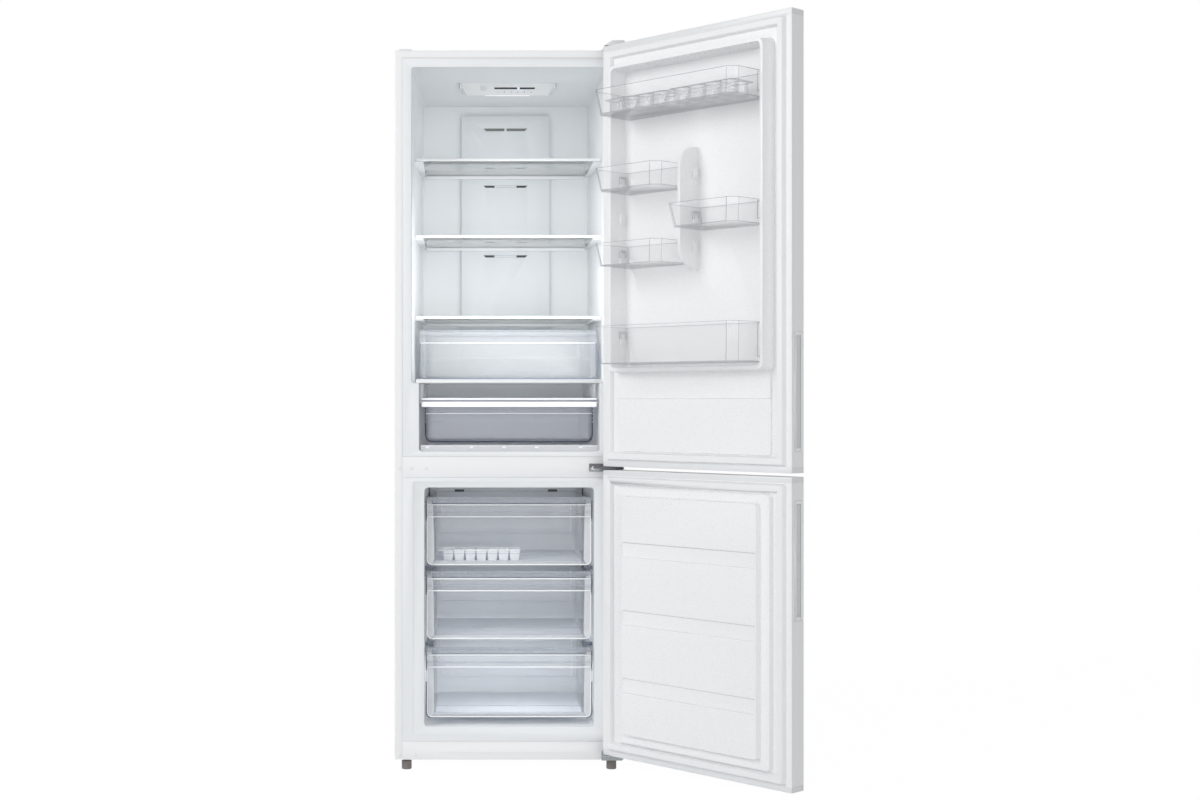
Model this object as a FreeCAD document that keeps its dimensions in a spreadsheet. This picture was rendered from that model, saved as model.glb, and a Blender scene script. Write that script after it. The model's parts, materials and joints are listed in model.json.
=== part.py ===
import FreeCAD, Part
import Sketcher
import math
import os
import re

# A bottom-freezer refrigerator with its two doors standing open.
# Frame: X to the right, Y towards the back, Z up. The origin is on the floor, on the
# centre line, in the plane of the cabinet's front. All sizes are in millimetres.

SIZES = {
    # steel cabinet
    "cabinet_width": 595,
    "cabinet_depth": 575,
    "cabinet_floor": 28,
    "cabinet_height": 1841,
    "sheet_steel": 0.6,
    "fold_radius": 2.6,
    "flange_width": 19,
    "seam_gap": 0.4,
    "frame_wall": 3,
    "liner_wall": 1.5,
    # fridge compartment
    "fridge_wall": 43,
    "fridge_draft": 18.5,
    "fridge_roof": 43,
    "roof_drop": 21,
    "fridge_back_wall": 95,
    "fridge_corner": 9,
    "chiller_ledge": 19.5,
    "chiller_draft": 12,
    "chiller_height": 177,
    "partition": 93.5,
    # freezer compartment
    "freezer_wall": 76.5,
    "freezer_draft": 4,
    "freezer_sill": 85,
    "freezer_height": 621.5,
    "freezer_back_wall": 75,
    "freezer_corner": 11,
    "frame_step": 1.5,
    "frame_step_side": 29,
    "frame_step_above": 14.5,
    "frame_step_below": 18,
    # rails across the front
    "rail_height": 53,
    "rail_lip": 6,
    "rail_drop": 14,
    "plinth_height": 47,
    "bead_half": 182,
    "bead_height": 5,
    "bead_proud": 0.8,
    # machine bay behind the freezer
    "bay_depth": 165,
    "bay_height": 235,
    "hump_wall": 43.5,
    "pan_sheet": 1,
    "cover_side_gap": 12,
    "cover_slot": 6,
    "cover_lift": 14,
    "cover_slot_first": 110,
    "cover_slot_offset": 150,
    "cover_slot_half": 80,
    "cover_slot_pitch": 14,
    "compressor_radius": 70,
    "compressor_height": 150,
    "compressor_dome": 34,
    "compressor_offset": 95,
    "compressor_stand": 12,
    "tray_wall": 2,
    "tray_height": 28,
    "tray_half_length": 115,
    "tray_half_depth": 60,
    "inlet_radius": 9,
    "inlet_bore": 3.6,
    "inlet_proud": 6,
    "inlet_from_side": 97.5,
    "inlet_height": 90,
    # condenser cast into the side walls
    "condenser_tube": 5,
    "condenser_runs": 7,
    "condenser_pitch": 70,
    "condenser_first": 70,
    "condenser_inset": 7,
    # cold air parts
    "duct_half": 126.5,
    "duct_depth": 14,
    "duct_wall": 2,
    "duct_top_gap": 29,
    "duct_foot_gap": 35,
    "duct_corner": 8,
    "vent_half": 63,
    "vent_height": 8,
    "slot_height": 6.4,
    "vent_drop": 35,
    "middle_slot_drop": 24,
    "lower_slot_drop": 19,
    "vent_web": 6,
    "freezer_panel_gap": 99,
    "freezer_panel_wall": 3,
    "freezer_panel_play": 2.4,
    "freezer_vent_offset": 132,
    "freezer_vent_width": 27,
    "freezer_vent_height": 7,
    "freezer_vent_drop": 33,
    "return_half": 150,
    "return_height": 14,
    "evaporator_end_gap": 32,
    "evaporator_depth": 56,
    "evaporator_height": 210,
    "evaporator_foot": 16,
    "evaporator_gap": 12,
    "fin_wall": 0.6,
    "fin_count": 25,
    "coil_radius": 4,
    "fan_radius": 46,
    "fan_height": 110,
    "fan_hub": 14,
    "fan_hub_length": 16,
    "fan_blade": 2,
    "fan_shaft": 2.5,
    "fan_play": 0.05,
    "fan_clearance": 6,
    "fan_motor": 26,
    "fan_motor_length": 32,
    # control panel with the lamp, hung from the roof
    "control_top_half": 135,
    "control_foot_half": 110,
    "control_front": 177,
    "control_back": 343,
    "control_slope": 36,
    "control_under_rise": 0.23,
    "control_foot_back": 53,
    "button_radius": 9,
    "button_thickness": 3,
    "button_proud": 0.6,
    "button_travel": 1,
    "button_play": 0.3,
    "button_offset": 65,
    "button_drop_share": 0.53,
    "lens_half": 60,
    "lens_depth": 50,
    "lens_wall": 4,
    "lens_proud": 1.2,
    # shelves
    "cover_rise": 175,
    "shelf_middle_share": 0.3344,
    "shelf_upper_share": 0.6517,
    "glass_thickness": 4,
    "shelf_front": 122,
    "shelf_back_gap": 28,
    "shelf_side_gap": 3,
    "glass_inset": 1.5,
    "trim_depth": 12,
    "trim_height": 7,
    "trim_below": 1.5,
    "rear_trim_below": 8.5,
    "rear_trim_height": 14,
    "chiller_shelf_front": 8,
    "chiller_shelf_height": 10.6,
    "chiller_shelf_glass": 4,
    "chiller_shelf_rim": 8,
    "chiller_shelf_play": 7,
    "ledge_width": 10,
    "ledge_height": 5,
    "ledge_root": 0.75,
    "rest_gap": 0.3,
    # crisper, chiller and freezer drawers
    "drawer_wall": 2.4,
    "drawer_corner": 13,
    "lip_thickness": 4,
    "crisper_front": 130,
    "crisper_play": 12,
    "crisper_height": 132,
    "crisper_tub_inset": 15,
    "crisper_lip_depth": 6,
    "crisper_lip_height": 13,
    "chiller_front": 30,
    "chiller_play": 16,
    "chiller_lift": 22,
    "chiller_drawer_height": 118,
    "chiller_lip": 9,
    "chiller_lip_drop": 10,
    "hood_depth": 14,
    "hood_height": 24,
    "hood_wall": 2.5,
    "hood_side": 8,
    "freezer_drawer_front": 26,
    "freezer_front_wall": 7,
    "freezer_drawer_play": 6,
    "freezer_tub_inset": 14,
    "freezer_lip": 10,
    "freezer_lip_drop": 12,
    "grip_bar_drop": 38,
    "grip_bar_depth": 5,
    "drawer_bottom_lift": 20,
    "drawer_bottom_share": 0.2944,
    "drawer_share": 0.2864,
    "drawer_gap": 21,
    "drawer_pitch_share": 0.3105,
    "tub_lift": 6,
    "bottom_back_gap": 14,
    "drawer_back_gap": 8,
    # ice tray with two rows of cups
    "ice_cups": 7,
    "ice_pitch": 29.2,
    "ice_row_pitch": 48,
    "ice_cup_half": 13.6,
    "ice_cup_half_deep": 21.5,
    "ice_cup_draft": 2.5,
    "ice_wall": 1.4,
    "ice_height": 28,
    "ice_rim": 2,
    "ice_side_gap": 10.6,
    "ice_flange": 14,
    "ice_front": 62,
    # doors
    "door_thickness": 47.5,
    "door_gap": 12,
    "door_open_angle": 132.5,
    "hinge_inset": 22.6,
    "hinge_setback": 24.8,
    "door_spacing": 9,
    "door_split": 47.5,
    "freezer_door_lift": 21.5,
    "fridge_door_rise": 2.5,
    "door_sheet": 0.6,
    "door_fold": 3,
    "door_liner": 1.2,
    "door_hem": 15,
    "cap_height": 14,
    "gasket_inset": 16,
    "gasket_width": 22,
    "gasket_clear": 0.3,
    "gasket_draft": 4,
    "pin_radius": 4,
    "pin_play": 0.06,
    "pin_depth": 11,
    # moulded inside of the fridge door
    "dyke_base": 48,
    "dyke_foot_lift": 237,
    "dyke_head_drop": 60.5,
    "dyke_height": 40,
    "dyke_draft": 6,
    "dyke_corner": 16,
    "ridge": 8,
    "recess_foot": 12,
    "recess_head": 10,
    "recess_depth": 14,
    "recess_draft": 4,
    "recess_corner": 12,
    "door_panel_side": 55,
    "door_panel_foot": 39,
    "door_panel_head": 172,
    "door_panel_proud": 4,
    "door_brow_proud": 7,
    "panel_draft": 4,
    "fin_offset": 2.5,
    "fin_thickness": 8,
    "fin_proud": 55,
    "fin_foot_share": 0.3124,
    "fin_head_share": 0.713,
    "fin_round": 60,
    # moulded inside of the freezer door
    "plateau_side": 53,
    "plateau_foot": 39,
    "plateau_head": 39,
    "plateau_proud": 11,
    "plateau_corner": 14,
    "block_side": 81,
    "block_foot": 63.5,
    "block_head": 61,
    "block_proud": 25,
    "block_corner": 8,
    "groove_height": 35.5,
    "groove_depth": 2.5,
    "groove_pitch": 171.5,
    "groove_first": 111,
    # grips in the free edges of the doors
    "grip_length": 280,
    "grip_depth": 24,
    "grip_setback": 10,
    "grip_width": 34.4,
    "grip_wall": 7.5,
    "grip_floor": 2,
    "grip_end": 8,
    "fridge_grip_lift": 50,
    "freezer_grip_drop": 55,
    # door bins
    "bin_wall": 2.2,
    "bin_reach": 125,
    "bin_draft": 9,
    "bin_cut": 20,
    "bin_back_gap": 3,
    "bin_side_gap": 7,
    "lug_depth": 13,
    "lug_height": 28,
    "lug_drop": 14,
    "lug_proud": 6,
    "spare_lug_left_share": 0.518,
    "spare_lug_right_0_share": 0.6462,
    "spare_lug_right_1_share": 0.4059,
    "tab_thickness": 4,
    "tab_proud": 5,
    "tab_depth": 14,
    "tab_wall": 3,
    "tab_play": 0.5,
    "bin_top_drop": 123,
    "bin_top_height": 61,
    "bin_small_height": 56,
    "bin_left_upper_share": 0.5821,
    "bin_right_share": 0.4393,
    "bin_left_lower_share": 0.3324,
    "bin_bottom_lift": 5,
    "bin_bottom_height": 94,
    # egg trays
    "egg_tray_share": 0.4326,
    "egg_tray_depth": 84,
    "egg_tray_height": 34,
    "egg_cup_radius": 18.5,
    "egg_cup_depth": 30,
    "egg_tray_wall": 1.5,
    "egg_pitch_share": 0.24,
    "egg_pitch_y": 41,
    "egg_tray_gap": 14,
    "egg_tray_front": 16,
    # hinges, feet, rollers and small caps
    "hinge_plate": 3,
    "hinge_lift": 0.8,
    "top_hinge_left": 40,
    "top_hinge_right": 7.5,
    "top_hinge_back": 66,
    "hinge_nose": 11,
    "hinge_cover_left": 61,
    "hinge_cover_slope": 28,
    "hinge_cover_height": 16,
    "hinge_cover_right": 2.5,
    "hinge_cover_back": 78,
    "hinge_cover_wall": 2,
    "middle_hinge_left": 90,
    "middle_hinge_plate": 4,
    "middle_hinge_height": 20,
    "bottom_hinge_left": 58,
    "bottom_hinge_foot": 2,
    "bottom_hinge_height": 26,
    "foot_inset": 30.5,
    "foot_setback": 25,
    "foot_radius": 13,
    "foot_height": 22,
    "foot_stud": 4,
    "foot_stud_top": 44,
    "foot_play": 0.08,
    "boss_radius": 9,
    "boss_height": 17,
    "roller_radius": 13,
    "roller_width": 20,
    "roller_inset": 50,
    "roller_setback": 45,
    "axle_radius": 3,
    "axle_play": 0.06,
    "bracket_wall": 2,
    "bracket_half": 9,
    "bracket_gap": 1,
    "plug_radius": 5,
    "plug_proud": 0.9,
    "corner_cap_front": 15,
    "corner_cap_length": 40,
    "corner_cap_depth": 55,
    "corner_cap_height": 7,
    "corner_cap_inset": 7.5,
}

doc = FreeCAD.newDocument("refrigerator")
sheet = doc.addObject("Spreadsheet::Sheet", "sizes")
for row, (alias, number) in enumerate(SIZES.items(), start=1):
    sheet.set(f"A{row}", alias)
    sheet.set(f"B{row}", str(number))
    sheet.setAlias(f"B{row}", alias)
doc.recompute()

WORD = re.compile(r"[a-z][a-z0-9_]*")
pieces = []


# ---------------------------------------------------------------- helpers

def bind(thing, prop, expression):
    """Tie a property to the sheet: each word that names a cell becomes a reference to it."""
    text = WORD.sub(lambda word: f"sizes.{word.group()}" if word.group() in SIZES else word.group(),
                    str(expression))
    thing.setExpression(prop, text)


def size(alias):
    """The number in a cell, for shapes that are worked out in Python."""
    return float(sheet.get(alias))


def piece(node, thing):
    """Name a finished sub-part."""
    thing.Label = node
    pieces.append(thing)
    return thing


def block(name, x, y, z):
    """A box between a low and a high expression along each axis."""
    solid = doc.addObject("Part::Box", name)
    for axis, extent, (low, high) in (("x", "Length", x), ("y", "Width", y), ("z", "Height", z)):
        bind(solid, extent, f"({high}) - ({low})")
        bind(solid, f".Placement.Base.{axis}", low)
    return solid


TURNS = {
    "x": FreeCAD.Rotation(FreeCAD.Vector(0, 1, 0), 90),
    "y": FreeCAD.Rotation(FreeCAD.Vector(1, 0, 0), -90),
    "z": FreeCAD.Rotation(),
}


def cylinder(name, axis, start, length, radius):
    """A cylinder from its start point along an axis."""
    solid = doc.addObject("Part::Cylinder", name)
    bind(solid, "Radius", radius)
    bind(solid, "Height", length)
    solid.Placement = FreeCAD.Placement(FreeCAD.Vector(), TURNS[axis])
    for side, place in zip("xyz", start):
        bind(solid, f".Placement.Base.{side}", place)
    return solid


def fuse(name, *things):
    joined = doc.addObject("Part::MultiFuse", name)
    joined.Shapes = list(things)
    joined.Refine = True
    return joined


def common(name, *things):
    shared = doc.addObject("Part::MultiCommon", name)
    shared.Shapes = list(things)
    shared.Refine = True
    return shared


def cut(name, base, *tools):
    """The base without the tools."""
    rest = doc.addObject("Part::Cut", name)
    rest.Base = base
    rest.Tool = tools[0] if len(tools) == 1 else fuse(name + "_tools", *tools)
    rest.Refine = True
    return rest


def group(name, *things):
    """Separate solids that share a node."""
    bundle = doc.addObject("Part::Compound", name)
    bundle.Links = list(things)
    return bundle


def new_body(name):
    return doc.addObject("PartDesign::Body", name)


def attach(body, name, plane, offset):
    """A sketch parallel to one of the body's origin planes, at a place along the third axis."""
    sketch = body.newObject("Sketcher::SketchObject", name)
    support = next(item for item in body.Origin.OriginFeatures if item.Role == plane + "_Plane")
    sketch.AttachmentSupport = [(support, "")]
    sketch.MapMode = "FlatFace"
    # the XZ plane faces -Y
    bind(sketch, ".AttachmentOffset.Base.z", f"-({offset})" if plane == "XZ" else offset)
    return sketch


def polygon(body, name, plane, offset, points):
    """A closed outline whose corners are pairs of expressions."""
    sketch = attach(body, name, plane, offset)
    count = len(points)
    rough = [FreeCAD.Vector(100 * math.cos(2 * math.pi * i / count),
                            100 * math.sin(2 * math.pi * i / count), 0) for i in range(count)]
    for i in range(count):
        sketch.addGeometry(Part.LineSegment(rough[i], rough[(i + 1) % count]))
    for i in range(count):
        sketch.addConstraint(Sketcher.Constraint("Coincident", i, 2, (i + 1) % count, 1))
    for i, corner in enumerate(points):
        for kind, place, start in zip(("DistanceX", "DistanceY"), corner, (rough[i].x, rough[i].y)):
            number = sketch.addConstraint(Sketcher.Constraint(kind, i, 1, start))
            bind(sketch, f"Constraints[{number}]", place)
    return sketch


def disc(body, name, plane, offset, centre, radius):
    """A round outline."""
    sketch = attach(body, name, plane, offset)
    sketch.addGeometry(Part.Circle(FreeCAD.Vector(1, 1, 0), FreeCAD.Vector(0, 0, 1), 10))
    for kind, place in zip(("DistanceX", "DistanceY"), centre):
        number = sketch.addConstraint(Sketcher.Constraint(kind, 0, 3, 1.0))
        bind(sketch, f"Constraints[{number}]", place)
    number = sketch.addConstraint(Sketcher.Constraint("Radius", 0, 10.0))
    bind(sketch, f"Constraints[{number}]", radius)
    return sketch


def rectangle(across, up):
    return [(across[0], up[0]), (across[1], up[0]), (across[1], up[1]), (across[0], up[1])]


def pad(body, sketch, length):
    feature = body.newObject("PartDesign::Pad", sketch.Name + "_pad")
    feature.Profile = sketch
    bind(feature, "Length", length)
    return feature


def prism(name, plane, low, high, points):
    """An outline drawn straight from low to high along the plane's third axis."""
    body = new_body(name)
    start = high if plane == "XZ" else low
    pad(body, polygon(body, name + "_outline", plane, start, points), f"({high}) - ({low})")
    return body


def tapered(name, low, low_across, low_up, high, high_across, high_up):
    """A solid from one upright rectangle to another, drawn along Y with flat sides."""
    body = new_body(name)
    wedge = body.newObject("PartDesign::AdditiveWedge", name + "_wedge")
    for prop, place in (("Ymin", low), ("Ymax", high),
                        ("Xmin", low_across[0]), ("Xmax", low_across[1]),
                        ("Zmin", low_up[0]), ("Zmax", low_up[1]),
                        ("X2min", high_across[0]), ("X2max", high_across[1]),
                        ("Z2min", high_up[0]), ("Z2max", high_up[1])):
        bind(wedge, prop, place)
    return body


def loft(name, plane, low, low_points, high, high_points):
    """A solid that blends one outline into another."""
    body = new_body(name)
    first = polygon(body, name + "_low", plane, low, low_points)
    second = polygon(body, name + "_high", plane, high, high_points)
    feature = body.newObject("PartDesign::AdditiveLoft", name + "_loft")
    feature.Profile = first
    feature.Sections = [second]
    feature.Ruled = True
    return body


def direction(edge):
    """Unit vector along a straight edge, or None for a curve."""
    if edge.isClosed() or len(edge.Vertexes) < 2:
        return None
    span = edge.Vertexes[-1].Point - edge.Vertexes[0].Point
    if edge.Length > span.Length * 1.0001:
        return None
    return span.normalize()


def runs_along(edge, axis):
    """True where an edge runs along X, Y or Z, within the moulding's draft."""
    line = direction(edge)
    return line is not None and abs(line["xyz".index(axis)]) > 0.8


def round_edges(body, radius, wanted):
    """Fillet the edges of a body that a test picks."""
    doc.recompute()
    base = body.Tip
    names = [f"Edge{i}" for i, edge in enumerate(base.Shape.Edges, start=1) if wanted(edge)]
    if not names:
        raise ValueError(f"{body.Name}: no edge to round")
    feature = body.newObject("PartDesign::Fillet", base.Name + "_round")
    feature.Base = (base, names)
    bind(feature, "Radius", radius)
    return body


def lower_half(body, edge):
    box = body.Tip.Shape.BoundBox
    return edge.BoundBox.Center.z < (box.ZMin + box.ZMax) / 2


# ---------------------------------------------------------------- shared places

HALF = "(cabinet_width / 2)"
INNER_HALF = f"({HALF} - sheet_steel)"
TOP = "(cabinet_floor + cabinet_height)"
FREEZER_FLOOR = "(cabinet_floor + freezer_sill)"
FREEZER_ROOF = f"({FREEZER_FLOOR} + freezer_height)"
FREEZER_HALF = f"({HALF} - freezer_wall)"
FREEZER_BACK = "(cabinet_depth - freezer_back_wall)"
FREEZER_BACK_HALF = f"({FREEZER_HALF} - freezer_draft)"
BAY_FRONT = "(cabinet_depth - bay_depth)"
BAY_ROOF = "(cabinet_floor + bay_height)"
HUMP_FRONT = f"({BAY_FRONT} - hump_wall)"
HUMP_TOP = f"({BAY_ROOF} + hump_wall)"
FRIDGE_FLOOR = f"({FREEZER_ROOF} + partition)"
FRIDGE_ROOF = f"({TOP} - fridge_roof)"
FRIDGE_BACK = "(cabinet_depth - fridge_back_wall)"
FRIDGE_HALF = f"({HALF} - fridge_wall)"
FRIDGE_BACK_HALF = f"({FRIDGE_HALF} - fridge_draft)"
CHILLER_TOP = f"({FRIDGE_FLOOR} + chiller_height)"
CHILLER_HALF = f"({FRIDGE_HALF} - chiller_ledge)"
CHILLER_BACK_HALF = f"({CHILLER_HALF} - chiller_draft)"
INLET_X = f"({HALF} - inlet_from_side)"
RAIL_TOP = f"({FRIDGE_FLOOR} - rail_drop)"
RAIL_FOOT = f"({RAIL_TOP} - rail_height)"
PLINTH_TOP = "(cabinet_floor + plinth_height)"
FRAME_HALF = f"({HALF} - flange_width)"
PAN_TOP = "(cabinet_floor + pan_sheet)"
SHELF_BACK = f"({FRIDGE_BACK} - shelf_back_gap)"
CHILLER_SHELF_FOOT = f"({CHILLER_TOP} + rest_gap)"
CHILLER_SHELF_TOP = f"({CHILLER_SHELF_FOOT} + chiller_shelf_height)"
COVER_LEVEL = f"({CHILLER_TOP} + cover_rise)"
SHELF_ROOM = f"({FRIDGE_ROOF} - {COVER_LEVEL})"
MIDDLE_LEVEL = f"({COVER_LEVEL} + {SHELF_ROOM} * shelf_middle_share)"
UPPER_LEVEL = f"({COVER_LEVEL} + {SHELF_ROOM} * shelf_upper_share)"
DOOR_SPLIT = f"({FREEZER_ROOF} + door_split)"
FREEZER_DOOR = ("(cabinet_floor + freezer_door_lift)", DOOR_SPLIT)
FRIDGE_DOOR = (f"({DOOR_SPLIT} + door_spacing)", f"({TOP} + fridge_door_rise)")
DYKE_FOOT = f"({FRIDGE_DOOR[0]} + dyke_foot_lift)"
DYKE_HEAD = f"({FRIDGE_DOOR[1]} - dyke_head_drop)"
RECESS_FOOT = f"({DYKE_FOOT} + dyke_draft + recess_foot)"
RECESS_HEAD = f"({DYKE_HEAD} - dyke_draft - recess_head)"
PIN_X = f"({HALF} - hinge_inset)"
PIN_Y = "(-door_gap - hinge_setback)"


def fridge_half_at(depth):
    """Half width of the tapering fridge compartment at a depth from the front."""
    return f"({FRIDGE_HALF} - fridge_draft * ({depth}) / {FRIDGE_BACK})"


# ---------------------------------------------------------------- compartments

OVERCUT = 1


def tapered_room(name, grow, corner, front, back, half_front, half_back, floor, roof, roof_fall):
    """The hollow of a compartment, or with grow the outside of its liner."""
    room = tapered(name,
                   front, (f"-{half_front} - {grow}", f"{half_front} + {grow}"),
                   (f"{floor} - {grow}", f"{roof} + {grow}"),
                   f"{back} + {grow}", (f"-{half_back} - {grow}", f"{half_back} + {grow}"),
                   (f"{floor} - {grow}", f"{roof} - {roof_fall} + {grow}"))
    return round_edges(room, f"{corner} + {grow}", lambda edge: runs_along(edge, "y"))


def fridge_room(name, grow, front):
    upper = tapered_room(name + "_upper", grow, "fridge_corner", front, FRIDGE_BACK,
                         FRIDGE_HALF, FRIDGE_BACK_HALF, CHILLER_TOP, FRIDGE_ROOF, "roof_drop")
    lower = tapered_room(name + "_lower", grow, "fridge_corner", front, FRIDGE_BACK,
                         CHILLER_HALF, CHILLER_BACK_HALF, FRIDGE_FLOOR,
                         f"({CHILLER_TOP} + 3 * fridge_corner)", 0)
    return fuse(name, upper, lower)


def freezer_room(name, grow, front):
    upper = tapered_room(name + "_upper", grow, "freezer_corner", front, FREEZER_BACK,
                         FREEZER_HALF, FREEZER_BACK_HALF, HUMP_TOP, FREEZER_ROOF, 0)
    lower = tapered_room(name + "_lower", grow, "freezer_corner", front, HUMP_FRONT,
                         FREEZER_HALF, FREEZER_BACK_HALF, FREEZER_FLOOR,
                         f"({HUMP_TOP} + 3 * freezer_corner)", 0)
    return fuse(name, upper, lower)


def both_sides(name, x, y, z):
    """A block and its mirror image across the centre line."""
    right = block(name + "_right", x, y, z)
    left = block(name + "_left", (f"-({x[1]})", f"-({x[0]})"), y, z)
    return [left, right]


# ---------------------------------------------------------------- cabinet

def at_front(body, edge):
    return edge.BoundBox.Center.y < body.Tip.Shape.BoundBox.YMin + 1


def at_top(body, edge):
    return edge.BoundBox.Center.z > body.Tip.Shape.BoundBox.ZMax - 1


def make_shell():
    """Painted sheet bent round the sides and top, with a flange returned at the front."""
    outside = prism("shell_outside", "XY", "cabinet_floor", TOP,
                    rectangle((f"-{HALF}", HALF), (0, "cabinet_depth")))
    inside = prism("shell_inside", "XY", f"cabinet_floor - {OVERCUT}", f"{TOP} - sheet_steel",
                   rectangle((f"-{INNER_HALF}", INNER_HALF),
                             ("sheet_steel", f"cabinet_depth + {OVERCUT}")))
    for body, radius in ((outside, "fold_radius"), (inside, "fold_radius - sheet_steel")):
        round_edges(body, radius, lambda edge: (runs_along(edge, "z") and at_front(body, edge))
                    or (at_top(body, edge) and (runs_along(edge, "y")
                        or (runs_along(edge, "x") and at_front(body, edge)))))
    mouth = block("shell_mouth", (f"-{FRAME_HALF}", FRAME_HALF), (-OVERCUT, OVERCUT),
                  (f"cabinet_floor - {OVERCUT}", f"{TOP} - flange_width"))
    piece("cabinet_shell", cut("shell", outside, inside, mouth))


def inner_slab(name, y, foot):
    """A slab as wide and tall as the inside of the shell, whose top corners follow its folds."""
    slab = prism(name, "XZ", y[0], y[1],
                 rectangle((f"-{INNER_HALF}", INNER_HALF), (foot, f"{TOP} - sheet_steel")))
    return round_edges(slab, "fold_radius - sheet_steel",
                       lambda edge: runs_along(edge, "y") and at_top(slab, edge))


def make_back_panel():
    piece("back_panel", inner_slab("back", ("cabinet_depth - sheet_steel", "cabinet_depth"),
                                   BAY_ROOF))


def make_foam():
    """Rigid foam that fills the space between the shell and the liners."""
    core = inner_slab("foam_core", ("frame_wall", "cabinet_depth - sheet_steel"), PAN_TOP)
    bay = block("foam_bay", (f"-{HALF}", HALF), (f"{BAY_FRONT} - pan_sheet", "cabinet_depth"),
                ("cabinet_floor", BAY_ROOF))
    bosses = [cylinder(f"foam_boss_{side}", "z",
                       (f"{sign}({HALF} - foot_inset)", "foot_setback", "cabinet_floor"),
                       "boss_height + 6", "boss_radius")
              for side, sign in (("left", "-"), ("right", ""))]
    piece("insulation_foam", cut("foam", core, bay, *bosses, doc.getObject("condenser"),
                                 fridge_room("foam_fridge", "liner_wall", "frame_wall - 1"),
                                 freezer_room("foam_freezer", "liner_wall", "frame_wall - 1")))


def make_fridge_liner():
    """Vacuum-formed liner with its front frame and the ledges that carry shelves and chiller."""
    frame = block("fridge_frame", (f"-{FRAME_HALF} + seam_gap", f"{FRAME_HALF} - seam_gap"),
                  (0, "frame_wall"),
                  (f"{RAIL_TOP} + seam_gap", f"{TOP} - flange_width - seam_gap"))
    skin = fridge_room("fridge_skin", "liner_wall", "frame_wall - 1")
    hollow = fridge_room("fridge_hollow", 0, -OVERCUT)
    shell = cut("fridge_liner_shell", fuse("fridge_liner_solid", frame, skin), hollow)
    ledges = []
    for label, level in (("upper", UPPER_LEVEL), ("middle", MIDDLE_LEVEL), ("cover", COVER_LEVEL)):
        inner = f"{fridge_half_at(SHELF_BACK)} - ledge_width"
        ledges += both_sides(f"ledge_{label}", (inner, HALF),
                             ("shelf_front + trim_depth + 2", f"{SHELF_BACK} - trim_depth - 2"),
                             (f"{level} - rest_gap - ledge_height", f"{level} - rest_gap"))
    lip_foot = f"({FRIDGE_FLOOR} + chiller_lift + chiller_drawer_height - chiller_lip_drop)"
    ledges += both_sides("ledge_chiller",
                         (f"{CHILLER_HALF} - chiller_play + chiller_lip / 4", HALF),
                         ("chiller_front + 12", f"{FRIDGE_BACK} - 30"),
                         (f"{lip_foot} - rest_gap - ledge_height", f"{lip_foot} - rest_gap"))
    root = fridge_room("fridge_ledge_room", "ledge_root", "frame_wall")
    fitted = common("fridge_ledges", fuse("fridge_ledge_bars", *ledges), root)
    piece("fridge_liner", fuse("fridge_liner", shell, fitted))


def freezer_drawer_levels():
    """Foot and height of the three freezer drawers, from the bottom up."""
    bottom = f"({FREEZER_FLOOR} + drawer_bottom_lift)"
    low_height = "(freezer_height * drawer_bottom_share)"
    height = "(freezer_height * drawer_share)"
    middle = f"({bottom} + {low_height} + drawer_gap)"
    top = f"({middle} + freezer_height * drawer_pitch_share)"
    return [("bottom", bottom, low_height), ("middle", middle, height), ("top", top, height)]


def make_freezer_liner():
    """Liner with the hump over the machine bay, a stepped frame and the drawer ledges."""
    frame = block("freezer_frame", (f"-{FRAME_HALF} + seam_gap", f"{FRAME_HALF} - seam_gap"),
                  (0, "frame_wall"), (f"{PLINTH_TOP} + seam_gap", f"{RAIL_FOOT} - seam_gap"))
    step = block("freezer_frame_step",
                 (f"-{FREEZER_HALF} - frame_step_side", f"{FREEZER_HALF} + frame_step_side"),
                 (-OVERCUT, "frame_step"),
                 (f"{FREEZER_FLOOR} - frame_step_below", f"{FREEZER_ROOF} + frame_step_above"))
    skin = freezer_room("freezer_skin", "liner_wall", "frame_wall - 1")
    hollow = freezer_room("freezer_hollow", 0, -OVERCUT)
    shell = cut("freezer_liner_shell", fuse("freezer_liner_solid", frame, skin), hollow, step)
    ledges = []
    inner = f"{FREEZER_HALF} - freezer_drawer_play - freezer_lip"
    for label, foot, height in freezer_drawer_levels():
        back = HUMP_FRONT if label == "bottom" else f"{FREEZER_BACK} - freezer_panel_gap"
        lip_foot = f"({foot} + {height} - freezer_lip_drop - lip_thickness)"
        ledges += both_sides(f"freezer_ledge_{label}", (inner, HALF),
                             ("freezer_drawer_front + 24", f"{back} - 4"),
                             (f"{lip_foot} - rest_gap - ledge_height", f"{lip_foot} - rest_gap"))
    root = freezer_room("freezer_ledge_room", "ledge_root", "frame_wall")
    fitted = common("freezer_ledges", fuse("freezer_ledge_bars", *ledges), root)
    piece("freezer_liner", fuse("freezer_liner", shell, fitted))


def make_rails():
    """Painted steel rails between the compartments and along the bottom."""
    across = (f"-{FRAME_HALF} + seam_gap", f"{FRAME_HALF} - seam_gap")
    lipped = (f"-{FRAME_HALF} + rail_lip", f"{FRAME_HALF} - rail_lip")
    for node, foot, top in (("cross_rail", RAIL_FOOT, RAIL_TOP),
                            ("bottom_rail", "cabinet_floor", PLINTH_TOP)):
        plate = block(node + "_plate", across, (0, "frame_wall"), (foot, top))
        hollow = block(node + "_hollow", lipped, ("frame_wall / 2", f"frame_wall + {OVERCUT}"),
                       (f"{foot} + rail_lip", f"{top} - rail_lip"))
        channel = cut(node + "_channel", plate, hollow)
        if node == "bottom_rail":
            middle = "(cabinet_floor + plinth_height * 0.42)"
            bead = block("plinth_bead", ("-bead_half", "bead_half"), ("-bead_proud", "bead_proud"),
                         (f"{middle} - bead_height / 2", f"{middle} + bead_height / 2"))
            channel = fuse("plinth", channel, bead)
        piece(node, channel)


def roller_places():
    return [("left", f"(-{HALF} + roller_inset)"), ("right", f"({HALF} - roller_inset)")]


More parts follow.
